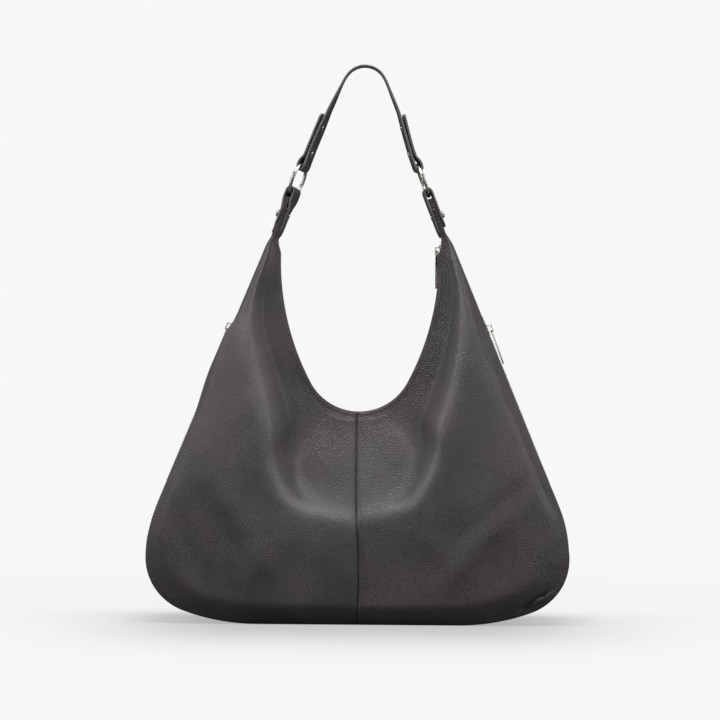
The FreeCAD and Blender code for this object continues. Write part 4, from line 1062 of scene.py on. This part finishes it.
def mouth_line(inset, y, top=394.0, step=1.5):
    """Points round the mouth's edge, moved into the leather by inset, at a place in Y."""
    end = MOUTH.reach(top)
    lengths = np.linspace(end, 0, int(end / step))
    drawn = pinch(*MOUTH.at(lengths), -1)[0] - MOUTH.at(lengths)[0]
    x, z = MOUTH.at(lengths, inset)
    left, right = ([(side * a, y, b) for a, b in zip(x + drawn, z)] for side in (-1, 1))
    return np.array(left + right[-2::-1])


def ribbon(name, lines, material, flip=False):
    """A sheet through several lines of matching points."""
    grid = np.stack(lines, axis=1)
    faces = grid_faces(*grid.shape[:2], flip=flip)
    return new_object(name, grid.reshape(-1, 3), faces, material)


MOUTH_TOP = 405.0  # the zip runs on under the tabs to here


def mouth_binding(face, where):
    """The facing behind the mouth's edge with the rolled binding that shows along it."""
    roll = np.radians(np.linspace(-60, 200, 12))
    rows = [(0.55 - 1.0 * math.sin(a), 10.0 + 1.1 * math.cos(a)) for a in roll] + [(2.2, 8.75), (3.4, 8.9)]
    lines = [mouth_line(inset, face * y, top=MOUTH_TOP) for inset, y in rows]
    obj = ribbon(f"mouth_binding_{where}", lines, BINDING_LEATHER, flip=face > 0)
    thicken(obj, 0.4)
    return fit_on(obj, "bag", f"mouth_facing_{where}", slot="facing")


def top_zip_tape(face, where):
    """A woven tape from the facing to the teeth, with the cord along its inner edge."""
    stops = ((9.0, 0.3), (7.95, 0.0), (6.0, 0.12), (4.6, 0.0), (3.6, -0.35), (3.0, 0.0))
    lines = [mouth_line(ZIP_SINK - 0.35 + lift, face * y, top=MOUTH_TOP) for y, lift in stops]
    obj = ribbon(f"top_zip_tape_{where}", lines, ZIP_CLOTH, flip=face < 0)
    thicken(obj, TAPE)
    return fit_on(obj, "bag", f"top_zip_tape_{where}", slot="zip_tape")


def teeth(name, points, face):
    """A row of teeth that hook towards the zip's middle."""
    obj = row(name, points, TOOTH_PITCH, TOOTH, ZIP_NICKEL, sideways=(0.0, -float(face), 0.0))
    return fit_on(obj, "bag", name, slot="zip_metal")


def top_zip_teeth(face, where):
    """A row of teeth from the bottom stop on the left round to the slider on the right."""
    line = mouth_line(ZIP_SINK, 0.0, top=392.0, step=0.8)
    lengths = run_lengths(line)
    start = 0.0 if face < 0 else TOOTH_PITCH / 2
    wanted = np.arange(start, lengths[-1] - 6.5, TOOTH_PITCH)
    x, z = (np.interp(wanted, lengths, line[:, k]) for k in (0, 2))
    return teeth(f"top_zip_teeth_{where}", [(a, face * TEETH_HALF_WIDTH, b) for a, b in zip(x, z)], face)


for face, where in FACES:
    mouth_binding(face, where)
    top_zip_tape(face, where)
    top_zip_teeth(face, where)


# ---------------------------------------------------------------- side zips


def side_point(side, along, across, out):
    """A point in the side zip's frame: along up the gusset from the slider, across in Y, out of it."""
    x, z = OUTER.at(OUTER.reach(SIDE_ZIP_TOP))
    lean = math.radians(SIDE_LEAN)
    up = np.array([-side * math.sin(lean), 0, math.cos(lean)])
    away = np.array([side * math.cos(lean), 0, math.sin(lean)])
    return np.array([side * float(x), 0.0, float(z)]) + up * along + away * out + np.array([0, across, 0])


def side_zip(side, hand):
    """A side zip's tapes and teeth, and the topstitch round its slot."""
    for face, where in FACES:
        lines = []
        for across, lift in ((13.0, 0.1), (9.0, 0.0), (5.0, 0.0), (3.6, 0.3), (3.0, 0.0)):
            out = -SIDE_ZIP_SINK + 0.35 + lift
            alongs = np.linspace(-168.0, 11.0, 80)
            lines.append(np.array([side_point(side, along, face * across, out) for along in alongs]))
        tape = ribbon(f"side_zip_tape_{where}_{hand}", lines, ZIP_CLOTH, flip=side * face > 0)
        thicken(tape, TAPE)
        fit_on(tape, "bag", f"side_zip_tape_{where}_{hand}", slot="zip_tape")
        wanted = np.arange(-157.5 + (0.0 if face < 0 else TOOTH_PITCH / 2), 0.5, TOOTH_PITCH)
        points = [side_point(side, a, face * TEETH_HALF_WIDTH, -SIDE_ZIP_SINK) for a in wanted]
        teeth(f"side_zip_teeth_{where}_{hand}", points, face)
    low, high, edge = -SIDE_ZIP_LENGTH - SLOT_OVER - 2.2, SLOT_OVER + 2.2, SLOT_HALF + 2.2
    across_slot = (math.cos(math.radians(SIDE_LEAN)), 0.0, 0.4)
    lines = [((low, side_edge), (high, side_edge), (0.0, 1.0, 0.0)) for side_edge in (-edge, edge)]
    lines += [((along, -edge), (along, edge), across_slot) for along in (low, high)]
    rows = []
    for i, (first, last, sideways) in enumerate(lines):
        start, end = side_point(side, *first, 0.2), side_point(side, *last, 0.2)
        count = int(np.linalg.norm(end - start) / SMALL_STITCH_PITCH)
        points = [start + (end - start) * k / count for k in range(count + 1)]
        name = f"slot_stitches_{hand}_{i}"
        rows.append(row(name, points, SMALL_STITCH_PITCH, SMALL_STITCH, THREAD, sideways=sideways))
    fit_on(joined(f"slot_stitches_{hand}", rows), "bag")


for side, hand in HANDS:
    side_zip(side, hand)


# ---------------------------------------------------------------- metal pieces that keep their CAD shape


def eased_copy(node, width, material, segments):
    """A copy of a CAD node with its edges eased, in place of the plain one."""
    mesh = frame["nodes"][node].data.copy()
    work = bmesh.new()
    work.from_mesh(mesh)
    bmesh.ops.remove_doubles(work, verts=work.verts, dist=2e-6)
    bmesh.ops.dissolve_limit(work, angle_limit=math.radians(1.0), verts=work.verts, edges=work.edges)
    work.to_mesh(mesh)
    work.free()
    mesh.materials.clear()
    mesh.materials.append(material)
    mesh.shade_smooth()
    obj = placed(f"eased_{node}", mesh)
    bevel = obj.modifiers.new("ease", "BEVEL")
    bevel.width = width * MM
    bevel.segments = segments
    bevel.limit_method = "ANGLE"
    bevel.angle_limit = math.radians(35)
    bevel.harden_normals = True
    return obj


BODY_OF = {node: body for body, nodes in frame["record"]["behaviour"]["bodies"].items() for node in nodes}

for part, ease, metal, steps, slot in (
    ("slider", 0.35, NICKEL, 3, "pulls"),
    ("pull", 0.22, NICKEL, 3, "pulls"),
    ("stops", 0.2, ZIP_NICKEL, 2, "zip_metal"),
):
    for node in (f"top_zip_{part}", f"side_zip_{part}_left", f"side_zip_{part}_right"):
        fit_on(eased_copy(node, ease, metal, steps), BODY_OF[node], node, slot=slot)


def dress(node, material):
    """Gives a CAD node that stays its detailed material."""
    mesh = frame["nodes"][node].data
    for slot in frame["nodes"][node].material_slots:
        slot.material = material
    if not frame["nodes"][node].material_slots:
        mesh.materials.append(material)


def side_pocket(side, hand):
    """The pouch behind a side zip, drawn in at its edges where the gusset rounds away."""
    node = f"side_pocket_{hand}"
    mesh = frame["nodes"][node].data.copy()
    mesh.materials.clear()
    mesh.materials.append(LINING_CLOTH)
    for vertex in mesh.vertices:
        x, y, z = (c / MM for c in vertex.co)
        s = rib_at(OUTER.reach(z))
        dip = gusset_dip(s, z, min(abs(y) / float(edge_depth(s)), 1.0))
        drop = dip * 1.15 + 0.8 * smooth(6.0, 14.0, abs(y))
        vertex.co.x = (x - side * drop) * MM
    return fit_on(placed(f"pocket_cloth_{hand}", mesh), "bag", node, slot="lining")


for side, hand in HANDS:
    side_pocket(side, hand)
for node in frame["nodes"]:
    if node == "base_board":
        dress(node, BOARD_PLASTIC)
    elif node.startswith("tab_core"):
        dress(node, CORE_SPLIT)


# ---------------------------------------------------------------- rings, tabs, strap


def leaning_matrix(side, origin, lean, yaw, along):
    """A frame at along up a leaning line: z up the line, x outwards, turned about it by yaw."""
    turn = Matrix.Rotation(math.pi, 4, "Z") if side < 0 else Matrix.Identity(4)
    return (
        Matrix.Translation(origin)
        @ Matrix.Rotation(math.radians(-side * lean), 4, "Y")
        @ turn
        @ Matrix.Rotation(math.radians(-yaw), 4, "Z")
        @ Matrix.Translation((0, 0, along))
    )


def ring_matrix(side, along=0.0):
    """A ring's own frame."""
    return leaning_matrix(side, (side * RING_SPAN, 0, RING_HEIGHT), RING_LEAN, RING_YAW[side], along)


def tab_matrix(side, along=0.0):
    """The tab's frame, from the ring's bottom wire: it turns square to the bag below the ring."""
    share = float(smooth(-18, -3, along))
    yaw = TAB_YAW[side] + (RING_YAW[side] - TAB_YAW[side]) * share
    return leaning_matrix(side, (side * RING_SPAN, 0, RING_HEIGHT), RING_LEAN, yaw, along - RING_RADIUS)


def ring(side, hand):
    """A round-wire ring."""
    around, about = 128, 28
    verts, faces = [], []
    place = ring_matrix(side)
    for i in range(around):
        a = 2 * math.pi * i / around
        for j in range(about):
            b = 2 * math.pi * j / about
            reach = RING_RADIUS + RING_WIRE / 2 * math.cos(b)
            out = RING_WIRE / 2 * math.sin(b)
            verts.append(tuple(place @ Vector((out, reach * math.cos(a), reach * math.sin(a)))))
            here, ahead = i * about, ((i + 1) % around) * about
            faces.append((here + j, here + (j + 1) % about, ahead + (j + 1) % about, ahead + j))
    obj = new_object(f"strap_ring_{hand}", verts, faces, NICKEL)
    fix_normals(obj)
    return fit_on(obj, f"ring_{hand}", f"ring_{hand}", slot="rings")


def fix_normals(obj):
    """Turns a closed mesh's faces outwards."""
    work = bmesh.new()
    work.from_mesh(obj.data)
    bmesh.ops.recalc_face_normals(work, faces=work.faces)
    work.to_mesh(obj.data)
    work.free()


def corner_share(distance, radius, half):
    """How much of a strip's half width is left this near its rounded end."""
    if distance >= radius:
        return 1.0
    return (half - radius + math.sqrt(radius**2 - (radius - distance) ** 2)) / half


def strip(name, sections, width, thickness, material, corner=4.0):
    """A leather strip through sections of (place, across, normal), with rounded edges marked for their edge
    paint, which the material lightens as a painted highlight.
    """
    places = np.array([place for place, _, _ in sections])
    lengths = np.concatenate([[0], np.cumsum(np.linalg.norm(np.diff(places, axis=0), axis=1))])
    profile = []
    round_edge = thickness * 0.42
    half, thick = width / 2, thickness / 2
    flat = np.linspace(-half + round_edge, half - round_edge, 15)
    for u in flat:
        profile.append((u, thick * (1 + 0.05 * math.cos(math.pi * u / half)), 0.0))
    for a in np.linspace(75, -75, 7):
        out = half - round_edge + round_edge * math.cos(math.radians(a))
        profile.append((out, thick * math.sin(math.radians(a)), 1.0))
    for u in flat[::-1]:
        profile.append((u, -thick, 0.0))
    for a in np.linspace(-75, 75, 7):
        out = -half + round_edge - round_edge * math.cos(math.radians(a))
        profile.append((out, thick * math.sin(math.radians(a)), 1.0))
    count = len(profile)
    verts, faces, edge = [], [], []
    for k, (place, across, normal) in enumerate(sections):
        share = corner_share(min(lengths[k], lengths[-1] - lengths[k]), corner, half)
        for u, v, mark in profile:
            verts.append(np.asarray(place) + np.asarray(across) * u * share + np.asarray(normal) * v)
            edge.append(1.0 if mark or k in (0, len(sections) - 1) else 0.0)
    for k in range(len(sections) - 1):
        for i in range(count):
            a, b = k * count + i, k * count + (i + 1) % count
            faces.append((a, b, b + count, a + count))
    faces.append(tuple(range(count))[::-1])
    faces.append(tuple(range((len(sections) - 1) * count, len(sections) * count)))
    obj = new_object(name, verts, faces, material)
    mark = obj.data.attributes.new("edge", "FLOAT", "POINT")
    mark.data.foreach_set("value", edge)
    fix_normals(obj)
    return obj


def resample(points, step):
    """Even points along a polyline."""
    points = np.asarray(points, float)
    lengths = np.concatenate([[0], np.cumsum(np.linalg.norm(np.diff(points, axis=0), axis=1))])
    wanted = np.linspace(0, lengths[-1], max(2, int(lengths[-1] / step)))
    return np.stack([np.interp(wanted, lengths, points[:, k]) for k in range(points.shape[1])], axis=1)


def fair(points, rounds):
    """Smooths a polyline with its ends held."""
    points = np.array(points, float)
    for _ in range(rounds):
        points[1:-1] += 0.5 * ((points[:-2] + points[2:]) / 2 - points[1:-1])
    return points


def local_sections(frame_at, path, outwards):
    """Sections of a strip whose middle line lies in the XZ plane of a frame that turns with height."""
    sections = []
    for i, (x, z) in enumerate(path):
        before, after = path[max(i - 1, 0)], path[min(i + 1, len(path) - 1)]
        matrix = frame_at(z)
        turn = np.array(matrix.to_3x3())
        way = np.array([after[0] - before[0], 0.0, after[1] - before[1]])
        way /= np.linalg.norm(way)
        place = np.array(matrix.to_translation()) + turn @ np.array([x, 0.0, 0.0])
        normal = turn @ np.cross(np.array([0.0, 1.0, 0.0]), way) * outwards
        sections.append((place, turn @ np.array([0.0, 1.0, 0.0]), normal))
    return sections


def fold_reach(width):
    """From the middle of the ring's wire to the inside of a fold round it."""
    return RING_RADIUS - math.sqrt((RING_RADIUS - RING_WIRE / 2) ** 2 - (width / 2) ** 2) + 0.35


def tab(side, hand):
    """A strip of leather folded over the ring, its legs gripping the horn under a screw stud."""
    middle = TAB_GAP / 2 + TAB_LEATHER / 2
    crown = fold_reach(TAB_WIDTH) + TAB_LEATHER / 2
    path = [(-middle + 0.5, -TAB_LENGTH - 1), (-middle, -36), (-middle, -22)]
    path += [(-middle - 0.2, -12), (-middle - 0.35, -4)]
    for a in np.linspace(180, 0, 15):
        out = (middle + 0.35) * math.cos(math.radians(a))
        path.append((out, crown - middle + middle * math.sin(math.radians(a))))
    path += [(middle + 0.35, -4), (middle + 0.2, -12), (middle, -22), (middle, -28), (middle + 0.2, -36)]
    path = fair(resample(path, 1.0), 6)
    sections = local_sections(lambda z: tab_matrix(side, z), path, -1)
    obj = strip(f"tab_leather_{hand}", sections, TAB_WIDTH, TAB_LEATHER, STRAP_LEATHER_SKIN, corner=7.0)
    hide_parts(f"tab_{hand}")
    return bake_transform(obj)


def lathe(name, profile, matrix, material, around=40):
    """A turned piece: profile is (height, radius) along the frame's X axis."""
    verts, faces = [], []
    for height, radius in profile:
        for k in range(around):
            a = 2 * math.pi * k / around
            verts.append(tuple(matrix @ Vector((height, radius * math.cos(a), radius * math.sin(a)))))
    for r in range(len(profile) - 1):
        for k in range(around):
            a, b = r * around + k, r * around + (k + 1) % around
            faces.append((a, b, b + around, a + around))
    faces += [tuple(range(around))[::-1], tuple(range((len(profile) - 1) * around, len(profile) * around))]
    obj = new_object(name, verts, faces, material)
    fix_normals(obj)
    return obj


def stud(side, hand):
    """The screw stud's ball head on its neck, outside the tab."""
    seat = TAB_GAP / 2 + TAB_LEATHER + 0.1
    profile = [(0.4, 1.4), (seat, 1.4), (seat, 3.2)]
    profile += [(seat + 0.25, 3.5), (seat + 0.7, 3.5), (seat + 0.85, 2.9)]
    for a in np.linspace(-30, 88, 12):
        profile.append((seat + 1.9 + 1.7 * math.sin(math.radians(a)), 3.75 * math.cos(math.radians(a))))
    obj = lathe(f"stud_{hand}", profile, tab_matrix(side, -SCREW_DROP), NICKEL)
    fit_on(obj, "bag", f"tab_screw_stud_{hand}", slot="rivets")
    back = -seat + 0.05
    profile = [(0.3, 2.0), (back, 2.0), (back, 3.8), (back - 0.3, 4.0), (back - 0.75, 3.9), (back - 1.0, 3.3)]
    profile += [(back - 1.0, 0.9), (back - 0.6, 0.6)]
    obj = lathe(f"screw_back_{hand}", profile, tab_matrix(side, -SCREW_DROP), NICKEL)
    return fit_on(obj, "bag", f"tab_screw_barrel_{hand}", slot="rivets")


def leg_lean(side):
    """The lean of the strap's leg, tangent to its top bend."""
    top = ring_matrix(side, RING_RADIUS).to_translation()
    centre = STRAP_TOP - STRAP_LEATHER / 2 - STRAP_TOP_RADIUS
    rise, run = centre - top.z, abs(top.x)
    offset = STRAP_TOP_RADIUS + LOOP_GAP / 2 + STRAP_LEATHER / 2
    return math.degrees(math.atan2(run, rise) - math.asin(offset / math.hypot(rise, run)))


def end_matrix(side, along=0.0):
    """The frame of the strap's folded end, from the ring's top wire: its twist fades up the leg."""
    yaw = END_YAW[side] * (1 - float(smooth(30, 95, along)))
    top = ring_matrix(side, RING_RADIUS).to_translation()
    height = top.z + along * math.cos(math.radians(leg_lean(side)))
    return Matrix.Translation((drift(height), 0, 0)) @ leaning_matrix(side, top, leg_lean(side), yaw, along)


def drift(height):
    """How far the strap leans to the right at a height."""
    return STRAP_LEAN * float(smooth(475, 560, height))


def end_path():
    """The folded end's middle line, from high on the leg, round the ring and up the flap's tip."""
    leg = LOOP_GAP / 2 + STRAP_LEATHER / 2
    bend = -fold_reach(STRAP_WIDTH) + LOOP_GAP / 2
    near = -leg + FLAP_REST + STRAP_LEATHER
    path = [(-leg, FLAP_LENGTH + 4), (-leg, 6.0), (-leg, bend)]
    path += [(-leg * math.cos(a), bend - leg * math.sin(a)) for a in np.linspace(0, math.pi, 15)]
    path += [(leg, 1.2), (leg * 0.72, 4.4), (near + 0.3, 8.0), (near, 12.0), (near, 30.0)]
    path += [(near + 0.3, 43.0), (near + 1.0, FLAP_LENGTH)]
    return fair(resample(path, 1.0), 4)


def shoulder_strap():
    """One long strip: flap, fold round the ring, up and over the shoulder, and down the other side."""
    path = end_path()
    right = local_sections(lambda z: end_matrix(1, z), path, 1)[::-1]
    left = local_sections(lambda z: end_matrix(-1, z), path, 1)
    start, end = right[-1], left[0]
    centre = np.array([0.0, 0.0, STRAP_TOP - STRAP_LEATHER / 2 - CROWN_RADIUS])
    turns = np.radians(np.linspace(28, 152, 40))
    bend = [centre + CROWN_RADIUS * np.array([math.cos(a), 0, math.sin(a)]) for a in turns]
    bend = [place + np.array([drift(place[2]), 0, 0]) for place in bend]
    line = fair(resample([start[0], *bend, end[0]], 1.5), 30)
    lengths = np.linspace(0, 1, len(line))
    arch = []
    for i, place in enumerate(line[1:-1], start=1):
        way = line[i + 1] - line[i - 1]
        way /= np.linalg.norm(way)
        level = np.array([0.0, 1.0, 0.0])
        first, last = float(1 - smooth(0.0, 0.3, lengths[i])), float(smooth(0.7, 1.0, lengths[i]))
        across = start[1] * first - end[1] * last + level * (1 - first - last)
        across -= way * np.dot(across, way)
        across /= np.linalg.norm(across)
        arch.append((place, across, np.cross(way, across)))
    mirrored = [(place, -across, normal) for place, across, normal in left]
    sections = []
    for place, across, normal in right + arch + mirrored:
        sections.append((place, across, normal))
    for i in range(1, len(sections)):
        if np.dot(sections[i][2], sections[i - 1][2]) < 0:
            sections[i] = (sections[i][0], sections[i][1], -sections[i][2])
    obj = strip("shoulder_strap", sections, STRAP_WIDTH, STRAP_LEATHER, STRAP_LEATHER_SKIN)
    return fit_on(obj, "strap", "strap", "strap_end_left", "strap_end_right", slot="strap_leather")


def rivet_profile(seat, way, post):
    """A domed rivet head at seat, facing way, with a post behind it."""
    points = [(seat - way * post, 1.5), (seat, 1.5), (seat, 3.8)]
    points += [(seat + way * 0.2, 4.0), (seat + way * 0.4, 3.9)]
    for a in np.linspace(12, 88, 9):
        height = seat + way * (0.35 + 1.05 * math.sin(math.radians(a)))
        points.append((height, 3.9 * math.cos(math.radians(a))))
    return points


def rivets(side, hand):
    """Two rivets through the strap and its flap: heads inside, caps outside."""
    inner = -LOOP_GAP / 2 - STRAP_LEATHER - 0.05
    outer = -LOOP_GAP / 2 + FLAP_REST + STRAP_LEATHER + 0.1
    head, cap = rivet_profile(inner, -1, outer - inner), rivet_profile(outer, 1, 0.3)
    places = [end_matrix(side, at) for at in RIVETS]
    heads = [lathe(f"rivet_head_{hand}_{k}", head, place, NICKEL) for k, place in enumerate(places)]
    caps = [lathe(f"rivet_cap_{hand}_{k}", cap, place, NICKEL) for k, place in enumerate(places)]
    fit_on(joined(f"rivet_heads_{hand}", heads), "strap", f"strap_rivets_{hand}", slot="rivets")
    fit_on(joined(f"rivet_caps_{hand}", caps), "strap", f"strap_rivet_caps_{hand}", slot="rivets")


for side, hand in HANDS:
    ring(side, hand)
    tab(side, hand)
    stud(side, hand)
    rivets(side, hand)
shoulder_strap()

for spare in (STITCH, SMALL_STITCH, TOOTH):
    bpy.data.objects.remove(spare)


# ---------------------------------------------------------------- studio


def studio_paper():
    """Even pale paper: a soft shadow is painted into its glow near the bag, its diffuse part takes a faint
    cast one too, and it throws little light back.
    """
    material = bpy.data.materials.new("studio_paper")
    material.use_nodes = True
    tree = material.node_tree
    tree.nodes.clear()
    n = Nodes(tree)
    place = n.add("ShaderNodeNewGeometry").outputs["Position"]
    away = n.add("ShaderNodeVectorMath", {"operation": "LENGTH"})
    n.put(away.inputs[0], place)
    far = n.span(away.outputs["Value"], 0.35, 1.1)
    lit = n.add("ShaderNodeBsdfDiffuse", Color=(PAPER_LIT, PAPER_LIT, PAPER_LIT, 1))
    # painted shadow: a soft falloff from the bag's footprint, longer in front than beside it or behind it,
    # taken from the glow
    where = n.add("ShaderNodeSeparateXYZ", Vector=place)
    beside = n.maths("SUBTRACT", n.maths("ABSOLUTE", where.outputs["X"]), 0.11)
    aside = n.maths("MULTIPLY", n.maths("MAXIMUM", beside, 0.0), 2.0)
    ahead = n.maths("MAXIMUM", n.maths("SUBTRACT", n.maths("MULTIPLY", where.outputs["Y"], -1.0), 0.05), 0.0)
    behind = n.maths("MULTIPLY", n.maths("MAXIMUM", n.maths("SUBTRACT", where.outputs["Y"], 0.05), 0.0), 3.0)
    aside, ahead, behind = (n.maths("POWER", value, 2.0) for value in (aside, ahead, behind))
    gap = n.maths("ADD", aside, n.maths("ADD", ahead, behind))
    shade = n.maths("EXPONENT", n.maths("DIVIDE", gap, -(PAPER_PAINTED_SHADOW_REACH**2)))
    strength = n.maths("MULTIPLY_ADD", shade, -PAPER_PAINTED_SHADOW, PAPER_GLOW)
    glow = n.add("ShaderNodeEmission", Color=(1, 1, 1, 1), Strength=strength)
    even = n.add("ShaderNodeEmission", Color=(1, 1, 1, 1), Strength=PAPER_WHITE)
    near = n.add("ShaderNodeAddShader")
    n.put(near.inputs[0], lit.outputs[0])
    n.put(near.inputs[1], glow.outputs[0])
    seen = n.add("ShaderNodeMixShader", Fac=far)
    n.put(seen.inputs[1], near.outputs[0])
    n.put(seen.inputs[2], even.outputs[0])
    dull = n.add("ShaderNodeBsdfDiffuse", Color=(0.12, 0.12, 0.12, 1))
    choice = n.add("ShaderNodeMixShader", Fac=n.add("ShaderNodeLightPath").outputs["Is Camera Ray"])
    n.put(choice.inputs[1], dull.outputs[0])
    n.put(choice.inputs[2], seen.outputs[0])
    n.put(n.add("ShaderNodeOutputMaterial").inputs[0], choice.outputs[0])
    return material


PAPER_WHITE = 0.93
PAPER_LIT = 0.12
PAPER_GLOW = 0.76
PAPER_PAINTED_SHADOW = 0.35  # how much the painted soft shadow under the bag takes from the paper's glow
# how far the painted shadow reaches from the bag's footprint, in metres
PAPER_PAINTED_SHADOW_REACH = 0.27


def backdrop():
    """Floor that sweeps up behind the bag."""
    profile = [(-3.5, 0.0), (2.2, 0.0)]
    turns = np.radians(np.linspace(6, 90, 15))
    profile += [(2.2 + 1.2 * math.sin(a), 1.2 - 1.2 * math.cos(a)) for a in turns]
    profile += [(3.4, 4.0)]
    verts = []
    for y, z in profile:
        verts += [(-5000.0, y * 1000, z * 1000), (5000.0, y * 1000, z * 1000)]
    obj = new_object("studio_floor", verts, grid_faces(len(profile), 2, flip=True), studio_paper())


def softbox(name, place, aim, width, height, power, tint=(1, 1, 1)):
    light = bpy.data.lights.new(name, "AREA")
    light.shape = "RECTANGLE"
    light.size, light.size_y = width, height
    light.energy = power
    light.color = tint
    obj = bpy.data.objects.new(name, light)
    obj.location = place
    obj.rotation_euler = (Vector(aim) - Vector(place)).to_track_quat("-Z", "Y").to_euler()
    bpy.context.scene.collection.objects.link(obj)


def lights():
    softbox("overhead", (0.0, -0.55, 2.0), (0.0, 0.0, 0.25), 1.3, 0.9, 44)
    softbox("left_strip", (-1.5, -0.35, 0.8), (0.0, 0.0, 0.25), 0.4, 1.5, 11.5, (0.94, 0.97, 1.0))
    softbox("right_strip", (1.5, -0.35, 0.8), (0.0, 0.0, 0.25), 0.4, 1.5, 10.5, (0.94, 0.97, 1.0))
    softbox("front_fill", (0.2, -2.6, 0.6), (0.0, 0.0, 0.2), 1.6, 1.0, 4.5)
    softbox("backlight", (0.0, 2.0, 1.6), (0.0, 0.0, 0.3), 2.4, 1.0, 8)
    world = bpy.data.worlds.new("studio")
    bpy.context.scene.world = world
    world.use_nodes = True
    world.node_tree.nodes["Background"].inputs[0].default_value = (0.9, 0.9, 0.9, 1)
    world.node_tree.nodes["Background"].inputs[1].default_value = 0.07


def camera():
    """Level with the middle of the bag, two metres in front of it."""
    data = bpy.data.cameras.new("camera")
    scale = 1.04 * MM * 720
    data.sensor_width = 36
    distance = 4.0
    data.lens = 36 / (scale / distance)
    obj = bpy.data.objects.new("camera", data)
    obj.location = (0.0010, -distance, 0.2714)
    obj.rotation_euler = (math.radians(90), math.radians(-0.45), 0)
    bpy.context.scene.collection.objects.link(obj)
    bpy.context.scene.camera = obj
    data.dof.use_dof = False


backdrop()
lights()
camera()
bpy.context.scene.view_settings.view_transform = "Standard"
bpy.context.scene.view_settings.look = "None"
